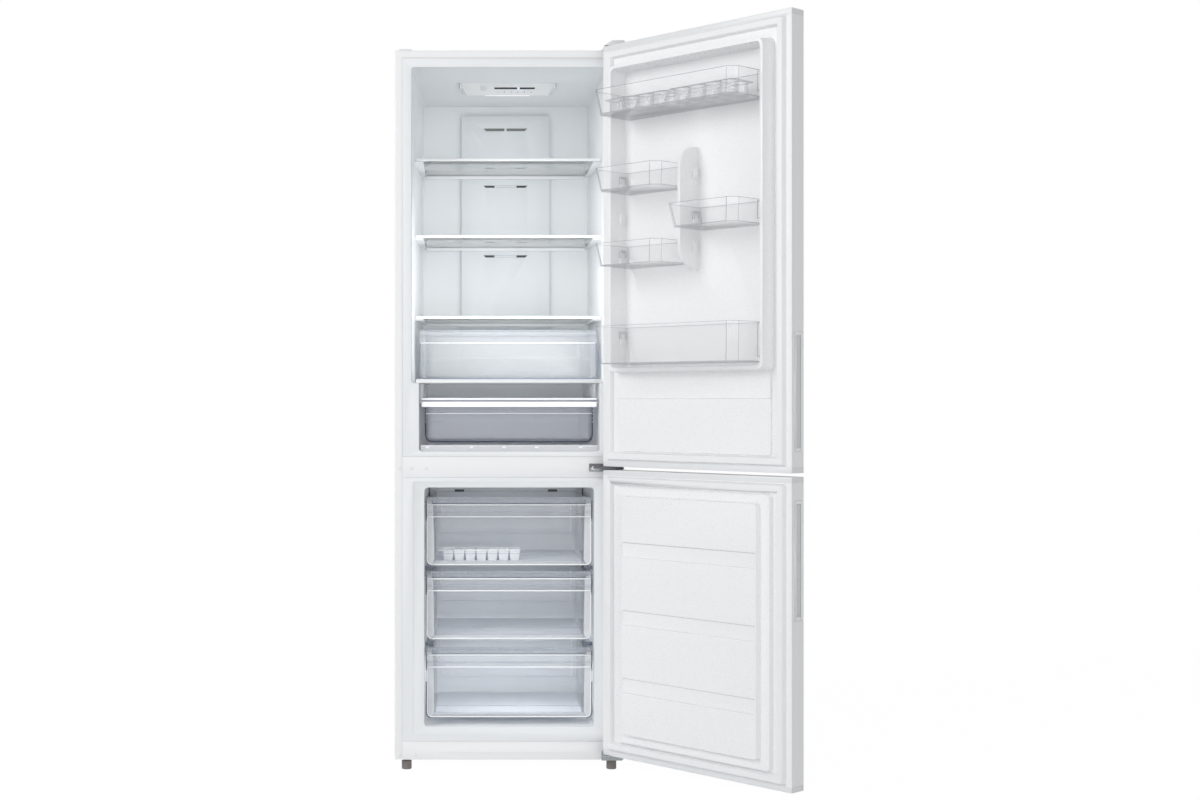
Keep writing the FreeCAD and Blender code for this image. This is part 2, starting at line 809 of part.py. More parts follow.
def make_base_pan():
    """Steel pan under the cabinet, stepped over the machine bay, with foot bosses and brackets."""
    floor = block("pan_floor", (f"-{INNER_HALF}", INNER_HALF),
                  ("frame_wall", "cabinet_depth - sheet_steel"), ("cabinet_floor", PAN_TOP))
    riser = block("pan_riser", (f"-{INNER_HALF}", INNER_HALF),
                  (f"{BAY_FRONT} - pan_sheet", BAY_FRONT), (PAN_TOP, BAY_ROOF))
    roof = block("pan_roof", (f"-{INNER_HALF}", INNER_HALF),
                 (f"{BAY_FRONT} - pan_sheet", "cabinet_depth - sheet_steel"),
                 (f"{BAY_ROOF} - pan_sheet", BAY_ROOF))
    solids = [floor, riser, roof]
    bores = []
    for side, sign in (("left", "-"), ("right", "")):
        centre = (f"{sign}({HALF} - foot_inset)", "foot_setback")
        solids.append(cylinder(f"pan_boss_{side}", "z", centre + ("cabinet_floor",),
                               "boss_height", "boss_radius"))
        bores.append(cylinder(f"pan_bore_{side}", "z", centre + (f"cabinet_floor - {OVERCUT}",),
                              "boss_height + 10", "foot_stud + foot_play"))
    for side, centre in roller_places():
        for end, sign in (("inner", "-"), ("outer", "+")):
            face = f"({centre} {sign} (roller_width / 2 + bracket_gap + bracket_wall / 2))"
            solids.append(block(f"roller_bracket_{side}_{end}",
                                (f"{face} - bracket_wall / 2", f"{face} + bracket_wall / 2"),
                                ("cabinet_depth - roller_setback - bracket_half",
                                 "cabinet_depth - roller_setback + bracket_half"),
                                ("roller_radius - axle_radius - 3", PAN_TOP)))
    bores.append(cylinder("axle_bore", "x",
                          (f"-{HALF}", "cabinet_depth - roller_setback", "roller_radius"),
                          "cabinet_width", "axle_radius + axle_play"))
    for side, sign in (("left", "-"), ("right", "")):
        solids.append(block(f"compressor_rest_{side}",
                            (f"-compressor_offset {sign or '+'} 70 - 8",
                             f"-compressor_offset {sign or '+'} 70 + 8"),
                            (f"{BAY_FRONT} + bay_depth / 2 - 45", f"{BAY_FRONT} + bay_depth / 2 + 45"),
                            (PAN_TOP, f"{PAN_TOP} + compressor_stand")))
    piece("base_pan", cut("pan", fuse("pan_solid", *solids), *bores))


def make_bay_cover():
    """Slotted cover over the machine bay."""
    foot = "(cabinet_floor + cover_lift)"
    plate = block("cover_plate",
                  (f"-{INNER_HALF} + cover_side_gap", f"{INNER_HALF} - cover_side_gap"),
                  ("cabinet_depth - sheet_steel - 1.2", "cabinet_depth - sheet_steel"),
                  (foot, f"{BAY_ROOF} - pan_sheet - seam_gap"))
    slots = []
    for bank, middle in (("left", "-cover_slot_offset"), ("right", "cover_slot_offset")):
        for i in range(8):
            level = f"({foot} + cover_slot_first + cover_slot_pitch * {i})"
            slots.append(block(f"cover_slot_{bank}_{i}",
                               (f"{middle} - cover_slot_half", f"{middle} + cover_slot_half"),
                               ("cabinet_depth - 5", "cabinet_depth + 5"),
                               (f"{level} - cover_slot / 2", f"{level} + cover_slot / 2")))
    hole = cylinder("cover_inlet_hole", "y", (INLET_X, "cabinet_depth - 10", "inlet_height"), 20,
                    "inlet_radius - 2.5")
    piece("compressor_cover", cut("bay_cover", plate, hole, *slots))


def make_compressor():
    """Hermetic compressor: a domed can on a foot plate, its starter box and its tube stubs."""
    foot = f"({PAN_TOP} + compressor_stand)"
    centre = ("-compressor_offset", f"{BAY_FRONT} + bay_depth / 2")
    can = new_body("compressor_can")
    pad(can, disc(can, "can_outline", "XY", f"{foot} + 2", centre, "compressor_radius"),
        "compressor_height")
    round_edges(can, "compressor_dome", lambda edge: edge.Curve.TypeId == "Part::GeomCircle")
    plate = block("compressor_foot_plate", ("-compressor_offset - 85", "-compressor_offset + 85"),
                  (f"{centre[1]} - 42", f"{centre[1]} + 42"), (foot, f"{foot} + 3"))
    collar = cylinder("compressor_collar", "z", centre + (f"{foot} + 2",), 12,
                      "compressor_radius - compressor_dome + 4")
    starter = block("starter_box", ("-compressor_offset + compressor_radius - 8",
                                    "-compressor_offset + compressor_radius + 26"),
                    (f"{centre[1]} - 30", f"{centre[1]} + 30"), (f"{foot} + 60", f"{foot} + 115"))
    stubs = [cylinder(f"tube_stub_{i}", "x",
                      ("-compressor_offset - compressor_radius - 34", f"{centre[1]} - 20 + {i} * 20",
                       f"{foot} + 70"), 60, "coil_radius") for i in range(3)]
    piece("compressor", fuse("compressor", can, plate, collar, starter, *stubs))


def make_evaporation_tray():
    """Pan that sits on the compressor and holds the defrost water."""
    floor = f"({PAN_TOP} + compressor_stand + 2 + compressor_height)"
    middle = f"({BAY_FRONT} + bay_depth / 2)"
    outside = prism("tray_outside", "XY", floor, f"{floor} + tray_height",
                    rectangle(("-compressor_offset - tray_half_length",
                               "-compressor_offset + tray_half_length"),
                              (f"{middle} - tray_half_depth", f"{middle} + tray_half_depth")))
    round_edges(outside, 10, lambda edge: runs_along(edge, "z"))
    inside = prism("tray_inside", "XY", f"{floor} + tray_wall", f"{floor} + tray_height + 1",
                   rectangle(("-compressor_offset - tray_half_length + tray_wall",
                              "-compressor_offset + tray_half_length - tray_wall"),
                             (f"{middle} - tray_half_depth + tray_wall",
                              f"{middle} + tray_half_depth - tray_wall")))
    round_edges(inside, 8, lambda edge: runs_along(edge, "z"))
    piece("evaporation_tray", cut("evaporation_tray", outside, inside))


def make_mains_inlet():
    """Gland where the lead enters; the lead itself isn't shown."""
    start = (INLET_X, "cabinet_depth - sheet_steel - 1.2 - 8", "inlet_height")
    body = cylinder("inlet_body", "y", start, "8 + 1.2 + sheet_steel + inlet_proud",
                    "inlet_radius - 2.5")
    collar = cylinder("inlet_collar", "y", (INLET_X, "cabinet_depth - sheet_steel", "inlet_height"),
                      "inlet_proud", "inlet_radius")
    bore = cylinder("inlet_bore", "y", (INLET_X, "cabinet_depth - 20", "inlet_height"), 40,
                    "inlet_bore")
    piece("mains_inlet", cut("mains_inlet", fuse("inlet_solid", body, collar), bore))


def make_condenser():
    """Tube that runs up and down inside each side wall and gives the heat off to the sheet."""
    radius = size("condenser_tube") / 2
    pitch = size("condenser_pitch")
    bend = pitch / 2
    low = size("cabinet_floor") + size("bay_height") + size("hump_wall") + bend
    high = size("cabinet_floor") + size("cabinet_height") - size("fridge_roof") - bend
    solids = []
    for side in (-1, 1):
        x = side * (size("cabinet_width") / 2 - size("condenser_inset"))
        edges = []
        for run in range(int(size("condenser_runs"))):
            y = size("condenser_first") + run * pitch
            ends = [FreeCAD.Vector(x, y, low), FreeCAD.Vector(x, y, high)]
            upward = run % 2 == 0
            start, end = ends if upward else reversed(ends)
            edges.append(Part.LineSegment(start, end).toShape())
            if run + 1 < size("condenser_runs"):
                top = end + FreeCAD.Vector(0, bend, bend if upward else -bend)
                edges.append(Part.Arc(end, top, end + FreeCAD.Vector(0, pitch, 0)).toShape())
        profile = Part.Wire(Part.makeCircle(radius, FreeCAD.Vector(x, size("condenser_first"), low),
                                            FreeCAD.Vector(0, 0, 1)))
        solids.append(Part.Wire(edges).makePipeShell([profile], True, False))
    tube = doc.addObject("Part::Feature", "condenser")
    tube.Shape = Part.makeCompound(solids)
    piece("condenser_tubes", tube)


def make_evaporator():
    """Finned coil behind the freezer's back panel."""
    front = f"({FREEZER_BACK} - evaporator_gap - evaporator_depth)"
    back = f"({FREEZER_BACK} - evaporator_gap)"
    foot = f"({HUMP_TOP} + evaporator_foot)"
    half = f"({FREEZER_BACK_HALF} - evaporator_end_gap)"
    count = int(size("fin_count"))
    solids = []
    for i in range(count + 1):
        x = f"(-{half} + {i} * 2 * ({half} - fin_wall) / {count})"
        solids.append(block(f"fin_{i}", (x, f"{x} + 2 * fin_wall"), (front, back),
                            (foot, f"{foot} + evaporator_height")))
    for row in range(2):
        for level in range(5):
            solids.append(cylinder(f"coil_{row}_{level}", "x",
                                   (f"-{half} - 8",
                                    f"{front} + evaporator_depth * {0.27 + 0.46 * row}",
                                    f"{foot} + evaporator_height * {0.1 + 0.2 * level}"),
                                   f"2 * {half} + 16", "coil_radius"))
    for side, sign in (("left", "-"), ("right", "")):
        edge = f"({sign}({half} - 5))"
        solids.append(block(f"evaporator_leg_{side}", (f"{edge} - 5", f"{edge} + 5"),
                            (f"{back} - 8", FREEZER_BACK),
                            (HUMP_TOP, f"{foot} + evaporator_height * 0.15")))
    piece("evaporator", fuse("evaporator", *solids))


FAN_LEVEL = f"({FREEZER_ROOF} - fan_height)"
FAN_FRONT = f"({FREEZER_BACK} - freezer_panel_gap + freezer_panel_wall + fan_clearance)"


def make_fan():
    """Motor on the liner's back wall, and the blade wheel on its shaft."""
    hub_back = f"({FAN_FRONT} + fan_hub_length)"
    can = cylinder("fan_can", "y", (0, f"{hub_back} + 3", FAN_LEVEL), "fan_motor_length", "fan_motor")
    shaft = cylinder("fan_shaft_rod", "y", (0, f"{FAN_FRONT} + 3", FAN_LEVEL), "fan_hub_length + 8",
                     "fan_shaft")
    mount = block("fan_mount", (-20, 20), (f"{hub_back} + 3 + fan_motor_length - 6", FREEZER_BACK),
                  (f"{FAN_LEVEL} - 20", f"{FAN_LEVEL} + 20"))
    piece("evaporator_fan_motor", fuse("fan_motor", can, shaft, mount))

    hub = cylinder("fan_hub_disc", "y", (0, FAN_FRONT, FAN_LEVEL), "fan_hub_length", "fan_hub")
    bore = cylinder("fan_hub_bore", "y", (0, f"{FAN_FRONT} + 2", FAN_LEVEL), "fan_hub_length",
                    "fan_shaft + fan_play")
    blades = []
    centre = FreeCAD.Vector(0, size("cabinet_depth") - size("freezer_back_wall")
                            - size("freezer_panel_gap") + size("freezer_panel_wall")
                            + size("fan_clearance") + size("fan_hub_length") / 2,
                            size("cabinet_floor") + size("freezer_sill") + size("freezer_height")
                            - size("fan_height"))
    for i in range(5):
        blade = doc.addObject("Part::Box", f"fan_blade_{i}")
        bind(blade, "Length", "fan_blade")
        bind(blade, "Width", "fan_hub_length * 0.9")
        bind(blade, "Height", "fan_radius - fan_hub + 2")
        spin = FreeCAD.Rotation(FreeCAD.Vector(0, 1, 0), 72 * i)
        pitch = FreeCAD.Rotation(FreeCAD.Vector(0, 0, 1), 38)
        corner = FreeCAD.Vector(-size("fan_blade") / 2, -size("fan_hub_length") * 0.45,
                                size("fan_hub") - 2)
        turn = spin.multiply(pitch)
        blade.Placement = FreeCAD.Placement(centre + turn.multVec(corner), turn)
        blades.append(blade)
    piece("evaporator_fan", fuse("fan_wheel", cut("fan_hub_bored", hub, bore), *blades))


def make_freezer_back_panel():
    """Cover in front of the coil and fan: two outlets at the top, one return along the foot."""
    front = f"({FREEZER_BACK} - freezer_panel_gap)"
    half = f"({FREEZER_BACK_HALF} - freezer_panel_play + freezer_draft * freezer_panel_gap / {FREEZER_BACK})"
    plate = prism("freezer_panel_plate", "XZ", front, f"{front} + freezer_panel_wall",
                  rectangle((f"-{half}", half), (HUMP_TOP, f"{FREEZER_ROOF} - 3")))
    round_edges(plate, "freezer_corner + 1", lambda edge: runs_along(edge, "y"))
    slots = []
    for side, sign in (("left", "-"), ("right", "")):
        middle = f"({sign}freezer_vent_offset)"
        slots.append(block(f"freezer_vent_{side}",
                           (f"{middle} - freezer_vent_width / 2", f"{middle} + freezer_vent_width / 2"),
                           (f"{front} - 1", f"{front} + freezer_panel_wall + 1"),
                           (f"{FREEZER_ROOF} - freezer_vent_drop",
                            f"{FREEZER_ROOF} - freezer_vent_drop + freezer_vent_height")))
    slots.append(block("freezer_return", ("-return_half", "return_half"),
                       (f"{front} - 1", f"{front} + freezer_panel_wall + 1"),
                       (f"{HUMP_TOP} - 1", f"{HUMP_TOP} + return_height")))
    piece("freezer_back_panel", cut("freezer_panel", plate, *slots))


def make_duct_panel():
    """Hollow panel up the fridge's back wall, with three pairs of air slots."""
    front = f"({FRIDGE_BACK} - duct_depth)"
    foot = f"({CHILLER_TOP} + duct_foot_gap)"
    top = f"({FRIDGE_ROOF} - roof_drop - duct_top_gap)"
    outside = prism("duct_outside", "XZ", front, FRIDGE_BACK,
                    rectangle(("-duct_half", "duct_half"), (foot, top)))
    round_edges(outside, "duct_corner", lambda edge: runs_along(edge, "y"))
    inside = block("duct_inside", ("-duct_half + duct_wall", "duct_half - duct_wall"),
                   (f"{front} + duct_wall", f"{FRIDGE_BACK} + 1"),
                   (f"{foot} + duct_corner", f"{top} - duct_corner"))
    slots = []
    for label, head, inner, tall in (
            ("upper", f"({top} - vent_drop)", "vent_web / 2", "vent_height"),
            ("middle", f"({UPPER_LEVEL} - middle_slot_drop)", "vent_half / 2", "slot_height"),
            ("lower", f"({MIDDLE_LEVEL} - lower_slot_drop)", "vent_half / 2", "slot_height")):
        for side, sign in (("left", "-"), ("right", "")):
            slots.append(prism(f"vent_{label}_{side}", "XZ", f"{front} - 1",
                               f"{front} + duct_wall + 1",
                               [(f"{sign}({inner})", f"{head} - {tall}"), (f"{sign}({inner})", head),
                                (f"{sign}(vent_half)", head),
                                (f"{sign}(vent_half - {tall})", f"{head} - {tall}")]))
    piece("fridge_duct_panel", cut("duct_panel", outside, inside, *slots))


# ---------------------------------------------------------------- control panel and lamp

CONTROL_FOOT = f"({FRIDGE_ROOF} - control_slope)"
CONTROL_FOOT_FRONT = "(control_front + control_slope)"
CONTROL_FOOT_BACK = "(control_back - control_foot_back)"


def button_solid(name, proud, depth, radius):
    """A cylinder square to the sloping control face, from proud of it to a depth behind it."""
    drop = "control_slope * button_drop_share"
    normal = FreeCAD.Rotation(FreeCAD.Vector(1, 0, 0), 135)
    solid = doc.addObject("Part::Cylinder", name)
    bind(solid, "Radius", radius)
    bind(solid, "Height", f"({proud}) + ({depth})")
    solid.Placement = FreeCAD.Placement(FreeCAD.Vector(), normal)
    # the face slopes at 45 degrees, so its normal has equal parts along Y and Z
    inset = f"({depth}) * cos(45)"
    bind(solid, ".Placement.Base.x", "-button_offset")
    bind(solid, ".Placement.Base.y", f"control_front + {drop} + {inset}")
    bind(solid, ".Placement.Base.z", f"{FRIDGE_ROOF} - {drop} + {inset}")
    return solid


def under_level(y):
    """Height of the housing's underside, which rises towards the back."""
    return f"({CONTROL_FOOT} + control_under_rise * ({y} - {CONTROL_FOOT_FRONT}))"


def make_control_panel():
    """Housing under the roof with a sloping face, a push button and the lamp lens below."""
    housing = loft("control_housing", "XY", CONTROL_FOOT,
                   rectangle(("-control_foot_half", "control_foot_half"),
                             (CONTROL_FOOT_FRONT, CONTROL_FOOT_BACK)),
                   FRIDGE_ROOF,
                   rectangle(("-control_top_half", "control_top_half"),
                             ("control_front", "control_back")))
    under = prism("control_under", "YZ", "-control_top_half", "control_top_half",
                  [(CONTROL_FOOT_FRONT, CONTROL_FOOT), ("control_back", under_level("control_back")),
                   ("control_back + 1", f"{CONTROL_FOOT} - 1"),
                   (CONTROL_FOOT_FRONT, f"{CONTROL_FOOT} - 1")])
    fitted = common("control_fitted", cut("control_wedge", housing, under),
                    fridge_room("control_room", 0, -OVERCUT))
    pocket = button_solid("button_pocket", 3,
                          "button_thickness - button_proud + button_travel + button_play",
                          "button_radius + button_play / 3")
    lens_front = f"({CONTROL_FOOT_FRONT} + 4)"
    lens_back = f"({lens_front} + lens_depth)"
    lens_outline = [(y, f"{under_level(y)} - lens_proud + {wall}")
                    for y, wall in ((lens_front, 0), (lens_back, 0), (lens_back, "lens_wall"),
                                    (lens_front, "lens_wall"))]
    lens = prism("lens", "YZ", "-lens_half", "lens_half", lens_outline)
    seat = prism("lens_seat", "YZ", "-lens_half", "lens_half", lens_outline)
    piece("control_panel", cut("control_panel", fitted, pocket, seat))
    piece("lamp_lens", lens)
    piece("control_button", button_solid("button", "button_proud",
                                         "button_thickness - button_proud", "button_radius"))


# ---------------------------------------------------------------- shelves

def make_glass_shelf(label, level):
    """Glass plate with a moulded trim along its front and its back edge."""
    half_front = f"({fridge_half_at('shelf_front')} - shelf_side_gap)"
    half_back = f"({fridge_half_at(SHELF_BACK)} - shelf_side_gap)"
    front = "(shelf_front + trim_depth / 4)"
    back = f"({SHELF_BACK} - trim_depth / 4)"
    outline = [(f"-{half_front} + glass_inset", front), (f"{half_front} - glass_inset", front),
               (f"{half_back} - glass_inset", back), (f"-{half_back} + glass_inset", back)]
    piece(label + "_glass", prism(label + "_plate", "XY", level, f"{level} + glass_thickness",
                                  outline))
    slot = prism(label + "_slot", "XY", level, f"{level} + glass_thickness", outline)
    front_bar = prism(label + "_front_bar", "YZ", f"-{half_front}", half_front,
                      rectangle(("shelf_front", "shelf_front + trim_depth"),
                                (f"{level} - trim_below", f"{level} - trim_below + trim_height")))
    round_edges(front_bar, 2, lambda edge: runs_along(edge, "x")
                and edge.BoundBox.Center.y < front_bar.Tip.Shape.BoundBox.Center.y)
    rear_bar = prism(label + "_rear_bar", "YZ", f"-{half_back}", half_back,
                     rectangle((f"{SHELF_BACK} - trim_depth", SHELF_BACK),
                               (f"{level} - rear_trim_below",
                                f"{level} - rear_trim_below + rear_trim_height")))
    over_ledges = both_sides(label + "_over_ledge",
                             (f"{fridge_half_at(SHELF_BACK)} - ledge_width - 1", HALF),
                             (f"{SHELF_BACK} - trim_depth - 1", f"{SHELF_BACK} + 1"),
                             (f"{level} - rear_trim_below - 1", level))
    piece(label + "_trims", group(label + "_trims",
                                  cut(label + "_front_trim", front_bar, slot),
                                  cut(label + "_rear_trim", rear_bar, slot, *over_ledges)))


def make_chiller_shelf():
    """Framed plate that closes the chiller and carries the crisper."""
    half_front = f"({fridge_half_at('chiller_shelf_front')} - chiller_shelf_play - 5)"
    half_back = f"({fridge_half_at(SHELF_BACK)} - chiller_shelf_play)"
    plate = prism("chiller_shelf_plate", "XY", CHILLER_SHELF_FOOT, CHILLER_SHELF_TOP,
                  [(f"-{half_front}", "chiller_shelf_front"), (half_front, "chiller_shelf_front"),
                   (half_back, SHELF_BACK), (f"-{half_back}", SHELF_BACK)])
    round_edges(plate, 3, lambda edge: runs_along(edge, "x")
                and edge.BoundBox.Center.y < 100)
    hollow = prism("chiller_shelf_hollow", "XY", f"{CHILLER_SHELF_FOOT} - 1",
                   f"{CHILLER_SHELF_TOP} - chiller_shelf_glass",
                   [(f"-{half_front} + chiller_shelf_rim + 14", "chiller_shelf_front + 12"),
                    (f"{half_front} - chiller_shelf_rim - 14", "chiller_shelf_front + 12"),
                    (f"{half_back} - chiller_shelf_rim - 6", f"{SHELF_BACK} - 10"),
                    (f"-{half_back} + chiller_shelf_rim + 6", f"{SHELF_BACK} - 10")])
    piece("chiller_shelf", cut("chiller_shelf", plate, hollow))


# ---------------------------------------------------------------- drawers

def tub_parts(name, half_front, half_back, front, back, foot, top):
    """Outside and inside of an open tub with rounded corners."""
    outside = prism(name + "_outside", "XY", foot, top,
                    [(f"-{half_front}", front), (half_front, front),
                     (half_back, back), (f"-{half_back}", back)])
    round_edges(outside, "drawer_corner",
                lambda edge: runs_along(edge, "z") or (not runs_along(edge, "z")
                                                       and lower_half(outside, edge)))
    inside = prism(name + "_inside", "XY", f"{foot} + drawer_wall", f"{top} + {OVERCUT}",
                   [(f"-{half_front} + drawer_wall", f"{front} + drawer_wall"),
                    (f"{half_front} - drawer_wall", f"{front} + drawer_wall"),
                    (f"{half_back} - drawer_wall", f"{back} - drawer_wall"),
                    (f"-{half_back} + drawer_wall", f"{back} - drawer_wall")])
    round_edges(inside, "drawer_corner - drawer_wall",
                lambda edge: runs_along(edge, "z") or (not runs_along(edge, "z")
                                                       and lower_half(inside, edge)))
    return outside, inside


def side_lips(name, half_front, half_back, front, back, foot, lip):
    """A flat rim that stands out of the tub's sides."""
    return prism(name + "_lip", "XY", foot, f"{foot} + lip_thickness",
                 [(f"-{half_front} - {lip}", front), (f"{half_front} + {lip}", front),
                  (f"{half_back} + {lip}", back), (f"-{half_back} - {lip}", back)])


def make_freezer_drawer(label, foot, height):
    """Clear drawer: a tub that hangs by its side lips behind a wider front with a pull bar."""
    node = "freezer_drawer_" + label
    gap_back = "bottom_back_gap" if label == "bottom" else "drawer_back_gap"
    wall = HUMP_FRONT if label == "bottom" else f"({FREEZER_BACK} - freezer_panel_gap)"
    back = f"({wall} - {gap_back})"
    top = f"({foot} + {height})"
    front_half = f"({FREEZER_HALF} - freezer_drawer_play)"
    tub_half = f"({front_half} - freezer_tub_inset)"
    tub_back = f"({tub_half} - 3)"
    front = "(freezer_drawer_front + freezer_front_wall - 2)"
    outside, inside = tub_parts(node, tub_half, tub_back, front, back, f"{foot} + tub_lift",
                                f"{top} - 4")
    lip = side_lips(node, tub_half, tub_back, "freezer_drawer_front + 26", f"{back} - 20",
                    f"({top} - freezer_lip_drop - lip_thickness)", "freezer_lip")
    face = prism(node + "_face", "XZ", "freezer_drawer_front",
                 "freezer_drawer_front + freezer_front_wall",
                 rectangle((f"-{front_half}", front_half), (foot, top)))
    round_edges(face, "drawer_corner", lambda edge: runs_along(edge, "y") and lower_half(face, edge))
    face_hollow = prism(node + "_face_hollow", "XZ", "freezer_drawer_front + drawer_wall",
                        "freezer_drawer_front + freezer_front_wall + 1",
                        rectangle((f"-{tub_half} + drawer_wall + 10", f"{tub_half} - drawer_wall - 10"),
                                  (f"{foot} + 30", f"{top} - 8")))
    bars = [block(f"{node}_bar_{place}", (f"-{front_half}", front_half),
                  ("freezer_drawer_front - grip_bar_depth", "freezer_drawer_front + 1"),
                  (f"{level} - 2", f"{level} + 2"))
            for place, level in (("top", f"({top} - 2)"), ("grip", f"({top} - grip_bar_drop)"))]
    solid = fuse(node + "_solid", outside, lip, face, *bars)
    piece(node, cut(node, solid, inside, face_hollow))


def make_ice_tray():
    """Two rows of tapered cups hung from one rim, lying in the top freezer drawer."""
    drawer_foot = freezer_drawer_levels()[2][1]
    foot = f"({drawer_foot} + tub_lift + drawer_wall)"
    top = f"({foot} + ice_height)"
    left = (f"(-({FREEZER_HALF} - freezer_drawer_play - freezer_tub_inset - drawer_wall"
            " - ice_side_gap))")
    outsides = []
    insides = []
    count = int(size("ice_cups"))
    for row in range(2):
        for i in range(count):
            x = f"({left} + ice_flange + ice_pitch * {i + 0.5})"
            y = f"(ice_front + ice_cup_half_deep + 4 + ice_row_pitch * {row})"
            for kind, wall, low, high in (("out", "0", foot, top),
                                          ("in", "ice_wall", f"({foot} + ice_wall)", f"({top} + 0.01)")):
                cup = loft(f"ice_{kind}_{row}_{i}", "XY",
                           low, rectangle((f"{x} - ice_cup_half + ice_cup_draft + {wall}",
                                           f"{x} + ice_cup_half - ice_cup_draft - {wall}"),
                                          (f"{y} - ice_cup_half_deep + ice_cup_draft + {wall}",
                                           f"{y} + ice_cup_half_deep - ice_cup_draft - {wall}")),
                           high, rectangle((f"{x} - ice_cup_half + {wall}",
                                            f"{x} + ice_cup_half - {wall}"),
                                           (f"{y} - ice_cup_half_deep + {wall}",
                                            f"{y} + ice_cup_half_deep - {wall}")))
                (outsides if kind == "out" else insides).append(cup)
    rim = prism("ice_rim_plate", "XY", f"{top} - ice_rim", top,
                rectangle((left, f"{left} + ice_flange + ice_pitch * ice_cups + 2"),
                          ("ice_front", "ice_front + 2 * ice_cup_half_deep + ice_row_pitch + 8")))
    round_edges(rim, 5, lambda edge: runs_along(edge, "z"))
    piece("ice_tray", cut("ice_tray", fuse("ice_tray_solid", rim, *outsides), *insides))


def make_crisper():
    """Vegetable drawer that stands on the chiller shelf."""
    foot = f"({CHILLER_SHELF_TOP} + rest_gap)"
    top = f"({foot} + crisper_height)"
    front_half = f"({fridge_half_at('crisper_front')} - crisper_play)"
    tub_front = f"({front_half} - crisper_tub_inset)"
    tub_back = f"({fridge_half_at(SHELF_BACK)} - crisper_tub_inset - 6)"
    outside, inside = tub_parts("crisper", tub_front, tub_back, "crisper_front + 3",
                                f"{SHELF_BACK} - 14", foot, f"{top} - 6")
    face = prism("crisper_face", "XZ", "crisper_front", "crisper_front + 6",
                 rectangle((f"-{front_half}", front_half), (foot, top)))
    round_edges(face, "drawer_corner", lambda edge: runs_along(edge, "y") and lower_half(face, edge))
    lip = prism("crisper_lip", "YZ", f"-{front_half}", front_half,
                rectangle(("crisper_front - crisper_lip_depth", "crisper_front + 2"),
                          (f"{top} - 3", top)))
    band = prism("crisper_band", "YZ", f"-{front_half}", front_half,
                 rectangle(("crisper_front - crisper_lip_depth", "crisper_front + 2"),
                           (f"{top} - crisper_lip_height - 3", f"{top} - crisper_lip_height")))
    piece("crisper_drawer", cut("crisper_drawer", fuse("crisper_solid", outside, face, lip, band),
                                inside))


def make_chiller_drawer():
    """Low drawer on side lips, with a hooked pull along its front."""
    foot = f"({FRIDGE_FLOOR} + chiller_lift)"
    top = f"({foot} + chiller_drawer_height)"
    half_front = f"({CHILLER_HALF} - chiller_play)"
    half_back = f"({half_front} - 8)"
    back = f"({FRIDGE_BACK} - 34)"
    outside, inside = tub_parts("chiller", half_front, half_back, "chiller_front", back, foot, top)
    lip = side_lips("chiller", half_front, half_back, "chiller_front + 16", f"{back} - 14",
                    f"({top} - chiller_lip_drop)", "chiller_lip")
    hood_half = f"({half_front} + hood_side)"
    hood = prism("chiller_hood", "YZ", f"-{hood_half}", hood_half,
                 rectangle(("chiller_front - hood_depth", "chiller_front + 2"),
                           (f"{top} - hood_height", top)))
    round_edges(hood, 5, lambda edge: runs_along(edge, "x")
                and edge.BoundBox.Center.y < hood.Tip.Shape.BoundBox.Center.y
                and not lower_half(hood, edge))
    finger = block("chiller_finger_gap", (f"-{hood_half} + hood_wall", f"{hood_half} - hood_wall"),
                   ("chiller_front - hood_depth + hood_wall", "chiller_front"),
                   (f"{top} - hood_height - 1", f"{top} - hood_wall"))
    piece("chiller_drawer", cut("chiller_drawer", fuse("chiller_solid", outside, lip, hood), inside,
                                finger))


# ---------------------------------------------------------------- doors
# A door's own frame: its origin is the hinge-side edge of the closed door, on the inner face.
# "across" is the distance from that edge and lies along -X; +Y points into the cabinet.

def across(low, high):
    return (f"-({high})", f"-({low})")


def hang(thing):
    """Swing a piece of a closed door about the hinge pin to the open pose."""
    bind(thing, ".Placement.Rotation.Angle", "door_open_angle")
    bind(thing, ".Placement.Base.x", f"{PIN_X} + hinge_inset * cos(door_open_angle)"
                                     " - hinge_setback * sin(door_open_angle)")
    bind(thing, ".Placement.Base.y", f"{PIN_Y} + hinge_inset * sin(door_open_angle)"
                                     " + hinge_setback * cos(door_open_angle)")
    return thing


def door_plate(name, low, high, y, z):
    return block(name, across(low, high), y, z)


def moulding(name, side, foot, head, low, high, draft, corner, grow=0):
    """A drafted block on a door's inside; grow makes it larger all round."""
    inner = f"({side} + {draft})"
    body = tapered(name,
                   low, across(f"{side} - {grow}", f"cabinet_width - {side} + {grow}"),
                   (f"{foot} - {grow}", f"{head} + {grow}"),
                   high, across(f"{inner} - {grow}", f"cabinet_width - {inner} + {grow}"),
                   (f"{foot} + {draft} - {grow}", f"{head} - {draft} + {grow}"))
    return round_edges(body, corner, lambda edge: runs_along(edge, "y"))


def sheet_core(name, skin, z):
    """The flat of a door, behind its liner."""
    low = 0 if skin != 0 else "door_hem"
    high = "cabinet_width" if skin != 0 else "cabinet_width - door_hem"
    start = "-door_thickness" if skin != 0 else "-recess_depth - door_liner"
    return door_plate(name, low, high, (start, f"-{skin}"), z)


